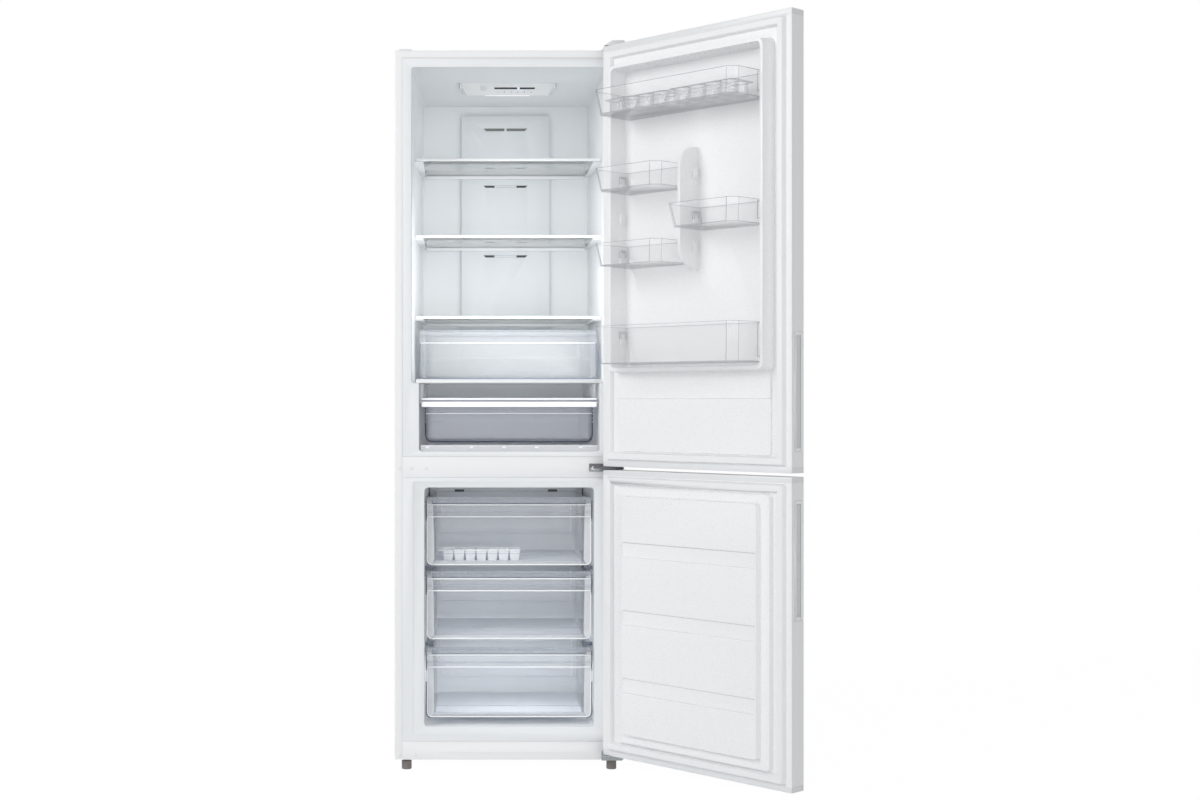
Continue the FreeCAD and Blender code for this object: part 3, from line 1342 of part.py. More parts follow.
def fridge_door_form(name, skin):
    """The fridge door's inside: a ridge round a deep recess, and a low panel below it."""
    foot, head = FRIDGE_DOOR
    inner = (f"{foot} + cap_height", f"{head} - cap_height")
    dyke = moulding(name + "_dyke", "dyke_base", DYKE_FOOT, DYKE_HEAD, f"-{skin} - 1",
                    f"dyke_height - {skin}", "dyke_draft", "dyke_corner", f"-{skin}")
    recess_side = "(dyke_base + dyke_draft + ridge + recess_draft)"
    recess = moulding_recess(name + "_recess", recess_side, RECESS_FOOT, RECESS_HEAD, skin)
    panel = moulding(name + "_panel", "door_panel_side", f"({foot} + door_panel_foot)",
                     f"({DYKE_FOOT} + 12)", f"-{skin} - 1", f"door_panel_proud - {skin}",
                     "panel_draft / 2", "fridge_corner", f"-{skin}")
    brow = moulding(name + "_brow", "door_panel_side", f"({foot} + door_panel_head)",
                    f"({DYKE_FOOT} + 12)", f"-{skin} - 1", f"door_brow_proud - {skin}",
                    "panel_draft / 2", "fridge_corner / 3", f"-{skin}")
    solid = fuse(name + "_solid", sheet_core(name + "_core", skin, inner), dyke, panel, brow)
    return cut(name, solid, recess)


def moulding_recess(name, side, foot, head, skin):
    """The hollow inside the ridge, wider at its mouth; skin is added behind its surface."""
    outer = f"({side} - recess_draft)"
    body = tapered(name,
                   f"-recess_depth - {skin}",
                   across(f"{side} - {skin}", f"cabinet_width - {side} + {skin}"),
                   (f"{foot} - {skin}", f"{head} + {skin}"),
                   "dyke_height + 1",
                   across(f"{outer} - {skin}", f"cabinet_width - {outer} + {skin}"),
                   (f"{foot} - recess_draft - {skin}", f"{head} + recess_draft + {skin}"))
    return round_edges(body, "recess_corner", lambda edge: runs_along(edge, "y"))


def freezer_door_form(name, skin):
    """The freezer door's inside: two steps, the upper one crossed by shallow grooves."""
    foot, head = FREEZER_DOOR
    inner = (f"{foot} + cap_height", f"{head} - cap_height")
    plateau = moulding(name + "_plateau", "plateau_side", f"({foot} + plateau_foot)",
                       f"({head} - plateau_head)", f"-{skin} - 1", f"plateau_proud - {skin}",
                       "panel_draft", "plateau_corner", f"-{skin}")
    raised = moulding(name + "_block", "block_side", f"({foot} + block_foot)",
                      f"({head} - block_head)", f"-{skin} - 1", f"block_proud - {skin}",
                      "panel_draft", "block_corner", f"-{skin}")
    solid = fuse(name + "_solid", sheet_core(name + "_core", skin, inner), plateau, raised)
    grooves = []
    for i in range(3):
        low = f"({foot} + block_foot + groove_first + groove_pitch * {i})"
        side = "(block_side + panel_draft)"
        grooves.append(door_plate(f"{name}_groove_{i}", f"{side} + 2 - {skin}",
                                  f"cabinet_width - {side} - 2 + {skin}",
                                  (f"block_proud - groove_depth - {skin}", "block_proud + 1"),
                                  (f"{low} - {skin}", f"{low} + groove_height + {skin}")))
    return cut(name, solid, *grooves)


def grip_block(name, low):
    """Outside of the grip, sunk into the door's free edge."""
    return door_plate(name, "cabinet_width - grip_depth", "cabinet_width",
                      ("-grip_setback - grip_width", "-grip_setback"),
                      (low, f"{low} + grip_length"))


def door_slab(name, low, high, y, z, radius):
    """A slab across the door whose two outer upright edges are rounded."""
    slab = prism(name, "XY", z[0], z[1], rectangle(across(low, high), y))
    return round_edges(slab, radius, lambda edge: runs_along(edge, "z") and at_front(slab, edge))


def make_door(node, levels, form, grip_low):
    """The pieces that every door has: skin, foam, liner, end caps, gasket and grip."""
    foot, head = levels
    inner = (f"{foot} + cap_height", f"{head} - cap_height")
    outside = door_slab(node + "_outside", 0, "cabinet_width", ("-door_thickness", 0), inner,
                        "door_fold")
    inside = door_slab(node + "_inside", "door_sheet", "cabinet_width - door_sheet",
                       ("-door_thickness + door_sheet", "-door_liner"), (foot, head),
                       "door_fold - door_sheet")
    window = door_plate(node + "_window", "door_hem", "cabinet_width - door_hem",
                        ("-door_liner - 1", 1), (foot, head))
    piece(node + "_skin", hang(cut(node + "_skin", outside, inside, window,
                                   grip_block(node + "_grip_hole", grip_low))))

    backing = door_slab(node + "_backing", "door_sheet", "cabinet_width - door_sheet",
                        ("-door_thickness + door_sheet", "block_proud + dyke_height"), inner,
                        "door_fold - door_sheet")
    piece(node + "_foam", hang(cut(node + "_foam",
                                   common(node + "_foam_blank", form(node + "_foam_form", "door_liner"),
                                          backing),
                                   grip_block(node + "_grip_nest", grip_low))))

    piece(node + "_liner", hang(cut(node + "_liner", form(node + "_face", 0),
                                    form(node + "_back", "door_liner"))))

    caps = []
    for end, low, high, pin_start in (("bottom", foot, inner[0], f"{foot} - 1"),
                                      ("top", inner[1], head, f"{head} - pin_depth - 1")):
        cap = door_slab(f"{node}_{end}_blank", 0, "cabinet_width", ("-door_thickness", 0),
                        (low, high), "door_fold")
        bore = cylinder(f"{node}_{end}_bore", "z", ("-hinge_inset", "-hinge_setback", pin_start),
                        "pin_depth + 2", "pin_radius + pin_play")
        caps.append(cut(f"{node}_{end}_cap", cap, bore))
    piece(node + "_end_caps", hang(group(node + "_end_caps", *caps)))

    outer = moulding(node + "_seal_outer", "gasket_inset", f"({foot} + gasket_inset)",
                     f"({head} - gasket_inset)", 0, "door_gap - gasket_clear", "gasket_draft", 4)
    hollow = moulding(node + "_seal_inner", "(gasket_inset + gasket_width)",
                      f"({foot} + gasket_inset + gasket_width)",
                      f"({head} - gasket_inset - gasket_width)", 0, "door_gap - gasket_clear",
                      "-gasket_draft", 4)
    piece(node + "_gasket", hang(cut(node + "_gasket", outer, hollow)))

    channel = door_plate(node + "_grip_channel", "cabinet_width - grip_depth + grip_floor",
                         "cabinet_width + 1",
                         ("-grip_setback - grip_width + grip_wall", "-grip_setback - grip_wall"),
                         (f"{grip_low} + grip_end", f"{grip_low} + grip_length - grip_end"))
    piece(node + "_grip", hang(cut(node + "_grip", grip_block(node + "_grip_blank", grip_low),
                                   channel)))


# ---------------------------------------------------------------- door bins

RECESS_WALL = "(dyke_base + dyke_draft + ridge + recess_draft / 2)"
FIN_NEAR = "(cabinet_width / 2 + fin_offset - fin_thickness / 2)"
FIN_FAR = "(cabinet_width / 2 + fin_offset + fin_thickness / 2)"


def recess_level(share):
    """A height in the door's recess, as a share of the way up."""
    return f"({RECESS_FOOT} + ({RECESS_HEAD} - {RECESS_FOOT}) * {share})"


BIN_TOP_FOOT = f"({RECESS_HEAD} - bin_top_drop)"
BINS = [
    ("bin_top", RECESS_WALL, f"(cabinet_width - {RECESS_WALL})", BIN_TOP_FOOT, "bin_top_height"),
    ("bin_left_upper", RECESS_WALL, FIN_NEAR, recess_level("bin_left_upper_share"),
     "bin_small_height"),
    ("bin_right", FIN_FAR, f"(cabinet_width - {RECESS_WALL})", recess_level("bin_right_share"),
     "bin_small_height"),
    ("bin_left_lower", RECESS_WALL, FIN_NEAR, recess_level("bin_left_lower_share"),
     "bin_small_height"),
    ("bin_bottom", RECESS_WALL, f"(cabinet_width - {RECESS_WALL})",
     f"({RECESS_FOOT} + bin_bottom_lift)", "bin_bottom_height"),
]
BIN_BACK = "(-recess_depth + bin_back_gap)"
LUG_BACK = f"({BIN_BACK} + 7)"


def bin_outline(near, far, back, reach, cut_off):
    """Plan of a bin: square at the door, with its two front corners cut off."""
    points = [(near, back), (near, f"{reach} - {cut_off}"), (f"{near} + {cut_off}", reach),
              (f"{far} - {cut_off}", reach), (far, f"{reach} - {cut_off}"), (far, back)]
    return [(f"-({u})", v) for u, v in points]


def make_bin(node, near_wall, far_wall, foot, height):
    """Clear bin, wider at its rim, hung on the liner's lugs by a hook at each end."""
    top = f"({foot} + {height})"
    near = f"({near_wall} + bin_side_gap)"
    far = f"({far_wall} - bin_side_gap)"
    shells = []
    for kind, wall, low in (("outside", "0", foot), ("inside", "bin_wall", f"({foot} + bin_wall)")):
        narrow = bin_outline(f"({near} + bin_draft + {wall})", f"({far} - bin_draft - {wall})",
                             f"({BIN_BACK} + {wall})", f"(bin_reach - bin_draft - {wall})", "bin_cut")
        wide = bin_outline(f"({near} + {wall})", f"({far} - {wall})", f"({BIN_BACK} + {wall})",
                           f"(bin_reach - {wall})", "bin_cut")
        shells.append(loft(f"{node}_{kind}", "XY", low, narrow, top, wide))
    hook_top = f"({top} - lug_drop)"
    hooks = []
    slots = []
    for end, start, stop in (("near", f"{near} - tab_proud", f"{near} + bin_wall"),
                             ("far", f"{far} - bin_wall", f"{far} + tab_proud")):
        hooks.append(door_plate(f"{node}_hook_{end}", start, stop,
                                (f"{LUG_BACK} - tab_wall", f"{LUG_BACK} + lug_depth + tab_wall"),
                                (f"{hook_top} - tab_depth", f"{hook_top} + tab_thickness")))
        slots.append(door_plate(f"{node}_slot_{end}", start, stop,
                                (f"{LUG_BACK} - tab_play", f"{LUG_BACK} + lug_depth + tab_play"),
                                (f"{hook_top} - tab_depth - 1", hook_top)))
    slots = fuse(node + "_slots", *slots)
    hooks = cut(node + "_hooks", fuse(node + "_hook_blocks", *hooks), slots)
    body = cut(node + "_tub", *shells)
    piece(node, hang(fuse(node, body, hooks)))


def lug(name, low, high, top):
    return door_plate(name, low, high, (LUG_BACK, f"{LUG_BACK} + lug_depth"),
                      (f"{top} - lug_height", top))


def bin_lugs():
    """The liner's lugs, one in each bin hook, and the spare ones for other heights."""
    lugs = []
    for node, near_wall, far_wall, foot, height in BINS:
        top = f"({foot} + {height} - lug_drop - rest_gap)"
        lugs.append(lug(f"{node}_lug_near", f"{near_wall} - 3", f"{near_wall} + lug_proud", top))
        lugs.append(lug(f"{node}_lug_far", f"{far_wall} - lug_proud", f"{far_wall} + 3", top))
    lugs.append(lug("spare_lug_left", f"{RECESS_WALL} - 3", f"{RECESS_WALL} + lug_proud",
                    recess_level("spare_lug_left_share")))
    for i in range(2):
        lugs.append(lug(f"spare_lug_right_{i}", f"{FIN_FAR} - 3", f"{FIN_FAR} + lug_proud",
                        recess_level(f"spare_lug_right_{i}_share")))
    return lugs


def add_bin_holders(form):
    """Give the fridge door's form its fin and lugs on the visible side only."""
    def with_holders(name, skin):
        base = form(name, skin)
        if skin != 0:
            return base
        fin = prism(name + "_fin", "YZ", f"-{FIN_FAR}", f"-{FIN_NEAR}",
                    rectangle(("-recess_depth - door_liner / 2", "fin_proud"),
                              (recess_level("fin_foot_share"), recess_level("fin_head_share"))))
        round_edges(fin, "fin_round", lambda edge: runs_along(edge, "x")
                    and edge.BoundBox.Center.y > 0)
        return fuse(name + "_held", base, fin, *bin_lugs())
    return with_holders


def make_egg_trays():
    """Two trays of egg cups that stand in the top bin."""
    foot = f"({BIN_TOP_FOOT} + bin_wall + rest_gap)"
    top = f"({foot} + egg_tray_height)"
    length = f"((cabinet_width - 2 * {RECESS_WALL} - 2 * bin_side_gap) * egg_tray_share)"
    trays = []
    for k, sign in enumerate(("-", "+")):
        middle = f"(cabinet_width / 2 {sign} ({length} + egg_tray_gap) / 2)"
        plate = prism(f"egg_tray_{k}", "XY", f"{top} - egg_tray_wall", top,
                      rectangle(across(f"{middle} - {length} / 2", f"{middle} + {length} / 2"),
                                ("egg_tray_front", "egg_tray_front + egg_tray_depth")))
        round_edges(plate, 8, lambda edge: runs_along(edge, "z"))
        cups = []
        hollows = []
        for i in range(4):
            for j in range(2):
                centre = (f"-({middle} + {length} * egg_pitch_share * {i - 1.5})",
                          f"egg_tray_front + egg_tray_depth / 2 + egg_pitch_y * {j - 0.5}")
                cups.append(cylinder(f"egg_cup_{k}_{i}_{j}", "z", centre + (foot,),
                                     "egg_tray_height - egg_tray_wall / 2",
                                     "egg_cup_radius + egg_tray_wall"))
                hollows.append(cylinder(f"egg_hollow_{k}_{i}_{j}", "z",
                                        centre + (f"{top} - egg_cup_depth",),
                                        "egg_cup_depth + 1", "egg_cup_radius"))
        trays.append(cut(f"egg_tray_cut_{k}", fuse(f"egg_tray_solid_{k}", plate, *cups), *hollows))
    piece("egg_trays", hang(group("egg_trays", *trays)))


# ---------------------------------------------------------------- hinges

def pin(name, low, high):
    return cylinder(name, "z", (PIN_X, PIN_Y, low), f"({high}) - ({low})", "pin_radius")


def make_hinges():
    """Three screwed brackets on the right, with the pins that the doors turn on."""
    under = f"({FRIDGE_DOOR[1]} + hinge_lift)"
    nose = f"({PIN_Y} - hinge_nose)"
    bracket = prism("top_hinge_bracket", "YZ", f"{HALF} - top_hinge_left", f"{HALF} - top_hinge_right",
                    [("top_hinge_back", TOP), ("top_hinge_back", f"{TOP} + hinge_plate"),
                     (6, f"{TOP} + hinge_plate"), (2, f"{under} + hinge_plate"),
                     (nose, f"{under} + hinge_plate"), (nose, under), (-2, under), (2, TOP)])
    piece("top_hinge", fuse("top_hinge", bracket,
                            pin("top_pin", f"{FRIDGE_DOOR[1]} - pin_depth", f"{under} + hinge_plate")))

    middle = f"({DOOR_SPLIT} + door_spacing / 2)"
    plate = prism("middle_hinge_arm", "XY", f"{middle} - middle_hinge_plate / 2",
                  f"{middle} + middle_hinge_plate / 2",
                  [(f"{HALF} - middle_hinge_left + 8", 0), (f"{HALF} - middle_hinge_left + 30", nose),
                   (f"{HALF} - 4", nose), (f"{HALF} - 4", 0)])
    mount = block("middle_hinge_mount", (f"{HALF} - middle_hinge_left", f"{HALF} - 4"),
                  ("-hinge_plate", 0),
                  (f"{middle} - middle_hinge_height / 2", f"{middle} + middle_hinge_height / 2"))
    piece("middle_hinge", fuse("middle_hinge", plate, mount,
                               pin("middle_pin", f"{DOOR_SPLIT} - pin_depth",
                                   f"{FRIDGE_DOOR[0]} + pin_depth")))

    arm_top = f"({FREEZER_DOOR[0]} - hinge_lift - 0.7)"
    arm = block("bottom_hinge_arm", (f"{HALF} - bottom_hinge_left", f"{HALF} - 4"), (nose, 0),
                (f"{arm_top} - middle_hinge_plate", arm_top))
    low = "(cabinet_floor - bottom_hinge_foot)"
    mount = block("bottom_hinge_mount", (f"{HALF} - bottom_hinge_left", f"{HALF} - 4"),
                  ("-hinge_plate", 0), (low, f"{low} + bottom_hinge_height"))
    piece("bottom_hinge", fuse("bottom_hinge", arm, mount,
                               pin("bottom_pin", f"{arm_top} - 2", f"{FREEZER_DOOR[0]} + pin_depth")))


def make_hinge_cover():
    """Cap over the top hinge, sloping towards the middle of the cabinet."""
    left = f"({HALF} - hinge_cover_left)"
    ridge = f"({HALF} - hinge_cover_left + hinge_cover_slope)"
    right = f"({HALF} - hinge_cover_right)"
    top = f"({TOP} + hinge_cover_height)"
    nose = f"({PIN_Y} - hinge_nose - 3)"
    outside = prism("hinge_cover_outside", "XZ", nose, "hinge_cover_back",
                    [(left, TOP), (ridge, top), (right, top), (right, TOP)])
    wall = "hinge_cover_wall"
    inside = prism("hinge_cover_inside", "XZ", f"{nose} + {wall}", f"hinge_cover_back - {wall}",
                   [(f"{left} + 2.5 * {wall}", f"{TOP} - 1"), (f"{ridge} + {wall} / 2", f"{top} - {wall}"),
                    (f"{right} - {wall}", f"{top} - {wall}"), (f"{right} - {wall}", f"{TOP} - 1")])
    over_door = block("hinge_cover_relief", (f"{left} - 1", f"{right} + 1"),
                      (f"{nose} - 1", 4), (f"{TOP} - 1", f"{FRIDGE_DOOR[1]} + hinge_lift"))
    piece("top_hinge_cover", cut("hinge_cover", outside, inside, over_door))


def make_blanking_plugs():
    """Plugs in the unused screw holes of the other hand, and the cap at the top left corner."""
    level = f"({DOOR_SPLIT} + 3)"
    low = "(cabinet_floor + 12)"
    plugs = []
    for i, (x, z) in enumerate(((f"-{HALF} + 12", level), (f"-{HALF} + 42.5", level),
                                (f"-{HALF} + 81", level), (f"-{HALF} + 53", low),
                                (f"-{HALF} + 12", low))):
        plugs.append(cylinder(f"plug_{i}", "y", (x, "-plug_proud", z), "plug_proud", "plug_radius"))
    left = f"(-{HALF} + corner_cap_inset)"
    cap = prism("corner_cap", "XZ", "corner_cap_front", "corner_cap_front + corner_cap_depth",
                [(left, TOP), (f"{left} + 5", f"{TOP} + corner_cap_height"),
                 (f"{left} + corner_cap_length - 6", f"{TOP} + corner_cap_height"),
                 (f"{left} + corner_cap_length", TOP)])
    piece("blanking_plugs", group("blanking_plugs", cap, *plugs))


# ---------------------------------------------------------------- feet and rollers

def make_feet():
    """Screw feet under the front corners."""
    for side, sign in (("left", "-"), ("right", "")):
        centre = (f"{sign}({HALF} - foot_inset)", "foot_setback")
        body = new_body(f"foot_{side}_pad")
        pad(body, disc(body, f"foot_{side}_disc", "XY", 0, centre, "foot_radius"), "foot_height")
        round_edges(body, 1.5, lambda edge: edge.Curve.TypeId == "Part::GeomCircle")
        stud = cylinder(f"foot_{side}_stud", "z", centre + ("foot_height - 1",),
                        "foot_stud_top - foot_height + 1", "foot_stud")
        piece(f"foot_{side}", fuse(f"foot_{side}", body, stud))


def make_rollers():
    """Two rear rollers on one through axle."""
    height = ("cabinet_depth - roller_setback", "roller_radius")
    parts = [cylinder("axle", "x", (f"-{HALF} + roller_inset - roller_width / 2 - 6",) + height,
                      "cabinet_width - 2 * roller_inset + roller_width + 12", "axle_radius")]
    for side, centre in roller_places():
        parts.append(cylinder(f"roller_{side}", "x", (f"{centre} - roller_width / 2",) + height,
                              "roller_width", "roller_radius"))
    piece("rear_rollers", fuse("rear_rollers", *parts))


# ---------------------------------------------------------------- build

make_shell()
make_back_panel()
make_condenser()
make_foam()
make_fridge_liner()
make_freezer_liner()
make_rails()
make_base_pan()
make_bay_cover()
make_compressor()
make_evaporation_tray()
make_mains_inlet()
make_evaporator()
make_fan()
make_freezer_back_panel()
make_duct_panel()
make_control_panel()
make_glass_shelf("shelf_upper", UPPER_LEVEL)
make_glass_shelf("shelf_middle", MIDDLE_LEVEL)
make_glass_shelf("crisper_cover", COVER_LEVEL)
make_chiller_shelf()
make_crisper()
make_chiller_drawer()
for drawer_label, drawer_foot, drawer_tall in freezer_drawer_levels():
    make_freezer_drawer(drawer_label, drawer_foot, drawer_tall)
make_ice_tray()
make_door("fridge_door", FRIDGE_DOOR, add_bin_holders(fridge_door_form),
          f"({FRIDGE_DOOR[0]} + fridge_grip_lift)")
make_door("freezer_door", FREEZER_DOOR, freezer_door_form,
          f"({FREEZER_DOOR[1]} - freezer_grip_drop - grip_length)")
for bin_facts in BINS:
    make_bin(*bin_facts)
make_egg_trays()
make_hinges()
make_hinge_cover()
make_blanking_plugs()
make_feet()
make_rollers()

doc.recompute()

for thing in doc.Objects:
    for fault in ("Invalid", "Error"):
        if fault in thing.State:
            raise RuntimeError(f"{thing.Name} is {fault}")
os.makedirs("parts", exist_ok=True)
for thing in pieces:
    if thing.Shape.isNull() or not thing.Shape.isValid():
        raise RuntimeError(f"{thing.Label} has no valid shape")
for thing in pieces:
    thing.Shape.exportStep(f"parts/{thing.Label}.step")
print(len(pieces), "sub-parts")
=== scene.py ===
"""Looks of the bottom-freezer refrigerator: camera, light, materials and fine pieces."""
import json
import math

import bmesh
import bpy
from mathutils import Matrix, Vector

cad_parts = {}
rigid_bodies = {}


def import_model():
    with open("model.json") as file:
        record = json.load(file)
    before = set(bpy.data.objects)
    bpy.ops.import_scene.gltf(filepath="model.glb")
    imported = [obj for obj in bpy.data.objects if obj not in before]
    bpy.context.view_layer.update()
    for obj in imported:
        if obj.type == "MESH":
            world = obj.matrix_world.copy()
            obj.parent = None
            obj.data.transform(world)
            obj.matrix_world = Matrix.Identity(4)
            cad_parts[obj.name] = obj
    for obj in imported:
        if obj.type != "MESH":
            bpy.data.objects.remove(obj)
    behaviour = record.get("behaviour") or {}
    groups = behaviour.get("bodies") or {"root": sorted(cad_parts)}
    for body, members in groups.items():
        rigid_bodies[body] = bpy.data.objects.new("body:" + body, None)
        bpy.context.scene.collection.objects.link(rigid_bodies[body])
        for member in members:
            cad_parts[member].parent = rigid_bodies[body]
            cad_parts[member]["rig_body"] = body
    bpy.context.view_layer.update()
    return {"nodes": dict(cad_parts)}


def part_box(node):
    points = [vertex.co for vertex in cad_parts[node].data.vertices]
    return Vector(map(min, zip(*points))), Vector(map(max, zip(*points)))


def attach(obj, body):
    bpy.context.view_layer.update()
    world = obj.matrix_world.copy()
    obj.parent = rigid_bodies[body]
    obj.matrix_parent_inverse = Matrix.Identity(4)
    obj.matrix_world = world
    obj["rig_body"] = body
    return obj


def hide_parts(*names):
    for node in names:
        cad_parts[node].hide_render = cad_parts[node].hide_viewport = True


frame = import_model()
nodes = frame["nodes"]
MM = 0.001

# ---------------------------------------------------------------- camera and light

# The camera of the photograph: level, 0.96 m up and 4.42 m in front of the cabinet.
camera_data = bpy.data.cameras.new("camera")
camera_data.sensor_width = 36
camera_data.lens = 51.06
camera_data.shift_x = 0.1087
camera_data.shift_y = 0.0005
camera = bpy.data.objects.new("camera", camera_data)
camera.location = (-0.103, -4.418, 0.960)
camera.rotation_euler = (math.radians(90), 0, 0)
bpy.context.scene.collection.objects.link(camera)
bpy.context.scene.camera = camera
bpy.context.scene.view_settings.view_transform = "Standard"
bpy.context.scene.cycles.transparent_max_bounces = 40
bpy.context.scene.cycles.diffuse_bounces = 6


def lamp(name, place, target, width, height, power):
    """An area lamp at a place, aimed at a target, in metres and watts."""
    data = bpy.data.lights.new(name, "AREA")
    data.shape = "RECTANGLE"
    data.size = width
    data.size_y = height
    data.energy = power
    lamp_object = bpy.data.objects.new(name, data)
    lamp_object.location = place
    aim = Vector(target) - Vector(place)
    lamp_object.rotation_euler = aim.to_track_quat("-Z", "Y").to_euler()
    bpy.context.scene.collection.objects.link(lamp_object)
    return lamp_object


def lamp_inside(name, place, target, width, height, power):
    """A weak lamp inside a compartment, for its glow: it lights, and nothing shows it."""
    light = lamp(name, place, target, width, height, power)
    light.visible_camera = False
    light.visible_glossy = False
    light.visible_transmission = False


lamp("key", (-4.2, -3.0, 3.2), (0.1, 0, 1.0), 3.0, 3.0, 150)
lamp("fill", (2.8, -4.4, 1.5), (0.1, 0, 0.9), 3.0, 3.0, 38)
lamp("front", (-0.2, -6.5, 1.6), (0, 0, 0.9), 5.0, 4.0, 58)

MOUTH = 0.012  # just behind the plane of the cabinet's front
lamp_inside("fridge_mouth", (0, MOUTH, 1.27), (0, 1, 1.27), 0.46, 0.40, 0.92)
lamp_inside("crisper_mouth", (0, MOUTH, 1.0), (0, 1, 1.0), 0.46, 0.26, 0.11)
lamp_inside("chiller_roof", (0, 0.1, 0.998), (0, 0.48, 0.93), 0.42, 0.03, 0.17)
lamp_inside("freezer_mouth", (0, MOUTH, 0.38), (0, 1, 0.38), 0.40, 0.52, 0.22)


def drawer_lamp(label, power):
    """A low strip of light under a freezer drawer's rim, aimed at its floor."""
    low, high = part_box("freezer_drawer_" + label)
    lamp_inside(f"drawer_{label}", (0, 0.05, high[2] - 0.03), (0, 0.2, low[2]), 0.38, 0.03, power)


drawer_lamp("top", 0.07)
drawer_lamp("middle", 0.08)
drawer_lamp("bottom", 0.30)


def seen_rays(tree):
    """1 for the rays that show the background: to the camera, in gloss and through glass."""
    path = tree.nodes.new("ShaderNodeLightPath")
    first = tree.nodes.new("ShaderNodeMath")
    first.operation = "MAXIMUM"
    tree.links.new(path.outputs["Is Camera Ray"], first.inputs[0])
    tree.links.new(path.outputs["Is Glossy Ray"], first.inputs[1])
    second = tree.nodes.new("ShaderNodeMath")
    second.operation = "MAXIMUM"
    tree.links.new(first.outputs[0], second.inputs[0])
    tree.links.new(path.outputs["Is Transmission Ray"], second.inputs[1])
    return second.outputs[0]


def studio_world():
    """A dim, slightly cool surround for the light, and plain white for the rays that see it."""
    world = bpy.data.worlds.new("studio")
    world.use_nodes = True
    bpy.context.scene.world = world
    tree = world.node_tree
    dim = tree.nodes["Background"]
    dim.inputs["Color"].default_value = (0.97, 0.985, 1.0, 1)
    dim.inputs["Strength"].default_value = 0.30
    white = tree.nodes.new("ShaderNodeBackground")
    white.inputs["Color"].default_value = (1, 1, 1, 1)
    white.inputs["Strength"].default_value = 1.0
    choose = tree.nodes.new("ShaderNodeMixShader")
    tree.links.new(seen_rays(tree), choose.inputs["Fac"])
    tree.links.new(dim.outputs[0], choose.inputs[1])
    tree.links.new(white.outputs[0], choose.inputs[2])
    tree.links.new(choose.outputs[0], tree.nodes["World Output"].inputs["Surface"])


studio_world()

# ---------------------------------------------------------------- materials


def shader_of(mat):
    return mat.node_tree.nodes["Principled BSDF"]


def finish(name, color, roughness, metallic=0.0, coat=0.0, alpha=1.0):
    """A plain material, to which the functions below add their grain and changes of tone."""
    mat = bpy.data.materials.new(name)
    mat.use_nodes = True
    shader = shader_of(mat)
    shader.inputs["Base Color"].default_value = (*color, 1)
    shader.inputs["Roughness"].default_value = roughness
    shader.inputs["Metallic"].default_value = metallic
    shader.inputs["Coat Weight"].default_value = coat
    shader.inputs["Coat Roughness"].default_value = 0.08
    shader.inputs["Alpha"].default_value = alpha
    return mat


def noise(mat, scale, detail=2.0, stretch=(1, 1, 1)):
    """Noise in the object's own metres, stretched along an axis where one is below 1."""
    tree = mat.node_tree
    place = tree.nodes.new("ShaderNodeTexCoord")
    mapping = tree.nodes.new("ShaderNodeMapping")
    mapping.inputs["Scale"].default_value = stretch
    texture = tree.nodes.new("ShaderNodeTexNoise")
    texture.inputs["Scale"].default_value = scale
    texture.inputs["Detail"].default_value = detail
    tree.links.new(place.outputs["Object"], mapping.inputs["Vector"])
    tree.links.new(mapping.outputs[0], texture.inputs["Vector"])
    return texture.outputs["Fac"]


def vary_roughness(mat, source, low, high):
    spread = mat.node_tree.nodes.new("ShaderNodeMapRange")
    spread.inputs["From Min"].default_value = 0.3
    spread.inputs["From Max"].default_value = 0.7
    spread.inputs["To Min"].default_value = low
    spread.inputs["To Max"].default_value = high
    mat.node_tree.links.new(source, spread.inputs["Value"])
    mat.node_tree.links.new(spread.outputs[0], shader_of(mat).inputs["Roughness"])


def vary_color(mat, source, dark, light):
    ramp = mat.node_tree.nodes.new("ShaderNodeValToRGB")
    ramp.color_ramp.elements[0].position = 0.35
    ramp.color_ramp.elements[0].color = (*dark, 1)
    ramp.color_ramp.elements[1].position = 0.65
    ramp.color_ramp.elements[1].color = (*light, 1)
    mat.node_tree.links.new(source, ramp.inputs["Fac"])
    mat.node_tree.links.new(ramp.outputs["Color"], shader_of(mat).inputs["Base Color"])


def bump(mat, source, strength, depth):
    node = mat.node_tree.nodes.new("ShaderNodeBump")
    node.inputs["Strength"].default_value = strength
    node.inputs["Distance"].default_value = depth
    mat.node_tree.links.new(source, node.inputs["Height"])
    mat.node_tree.links.new(node.outputs[0], shader_of(mat).inputs["Normal"])


def glow(mat, color, strength):
    shader_of(mat).inputs["Emission Color"].default_value = (*color, 1)
    shader_of(mat).inputs["Emission Strength"].default_value = strength


def surface_gloss(mat, roughness):
    """A clear surface's gloss, from 4% face on to all of it at a glance, and alike from inside."""
    tree = mat.node_tree
    gloss = tree.nodes.new("ShaderNodeBsdfGlossy")
    gloss.inputs["Roughness"].default_value = roughness
    facing = tree.nodes.new("ShaderNodeLayerWeight")
    facing.inputs["Blend"].default_value = 0.5
    steep = tree.nodes.new("ShaderNodeMath")
    steep.operation = "POWER"
    steep.inputs[1].default_value = 5
    tree.links.new(facing.outputs["Facing"], steep.inputs[0])
    amount = tree.nodes.new("ShaderNodeMapRange")
    amount.inputs["To Min"].default_value = 0.04
    tree.links.new(steep.outputs[0], amount.inputs["Value"])
    blend = tree.nodes.new("ShaderNodeMixShader")
    tree.links.new(amount.outputs[0], blend.inputs["Fac"])
    tree.links.new(shader_of(mat).outputs[0], blend.inputs[1])
    tree.links.new(gloss.outputs[0], blend.inputs[2])
    tree.links.new(blend.outputs[0], tree.nodes["Material Output"].inputs["Surface"])


def painted(name, color, roughness=0.32):
    """Coil-coated steel: a fine orange peel and hardly any change of tone."""
    mat = finish(name, color, roughness, coat=0.15)
    bump(mat, noise(mat, 1100), 0.03, 0.0001)
    vary_roughness(mat, noise(mat, 260, 3), roughness - 0.02, roughness + 0.03)
    vary_color(mat, noise(mat, 700, 3), tuple(c * 0.992 for c in color), color)
    return mat


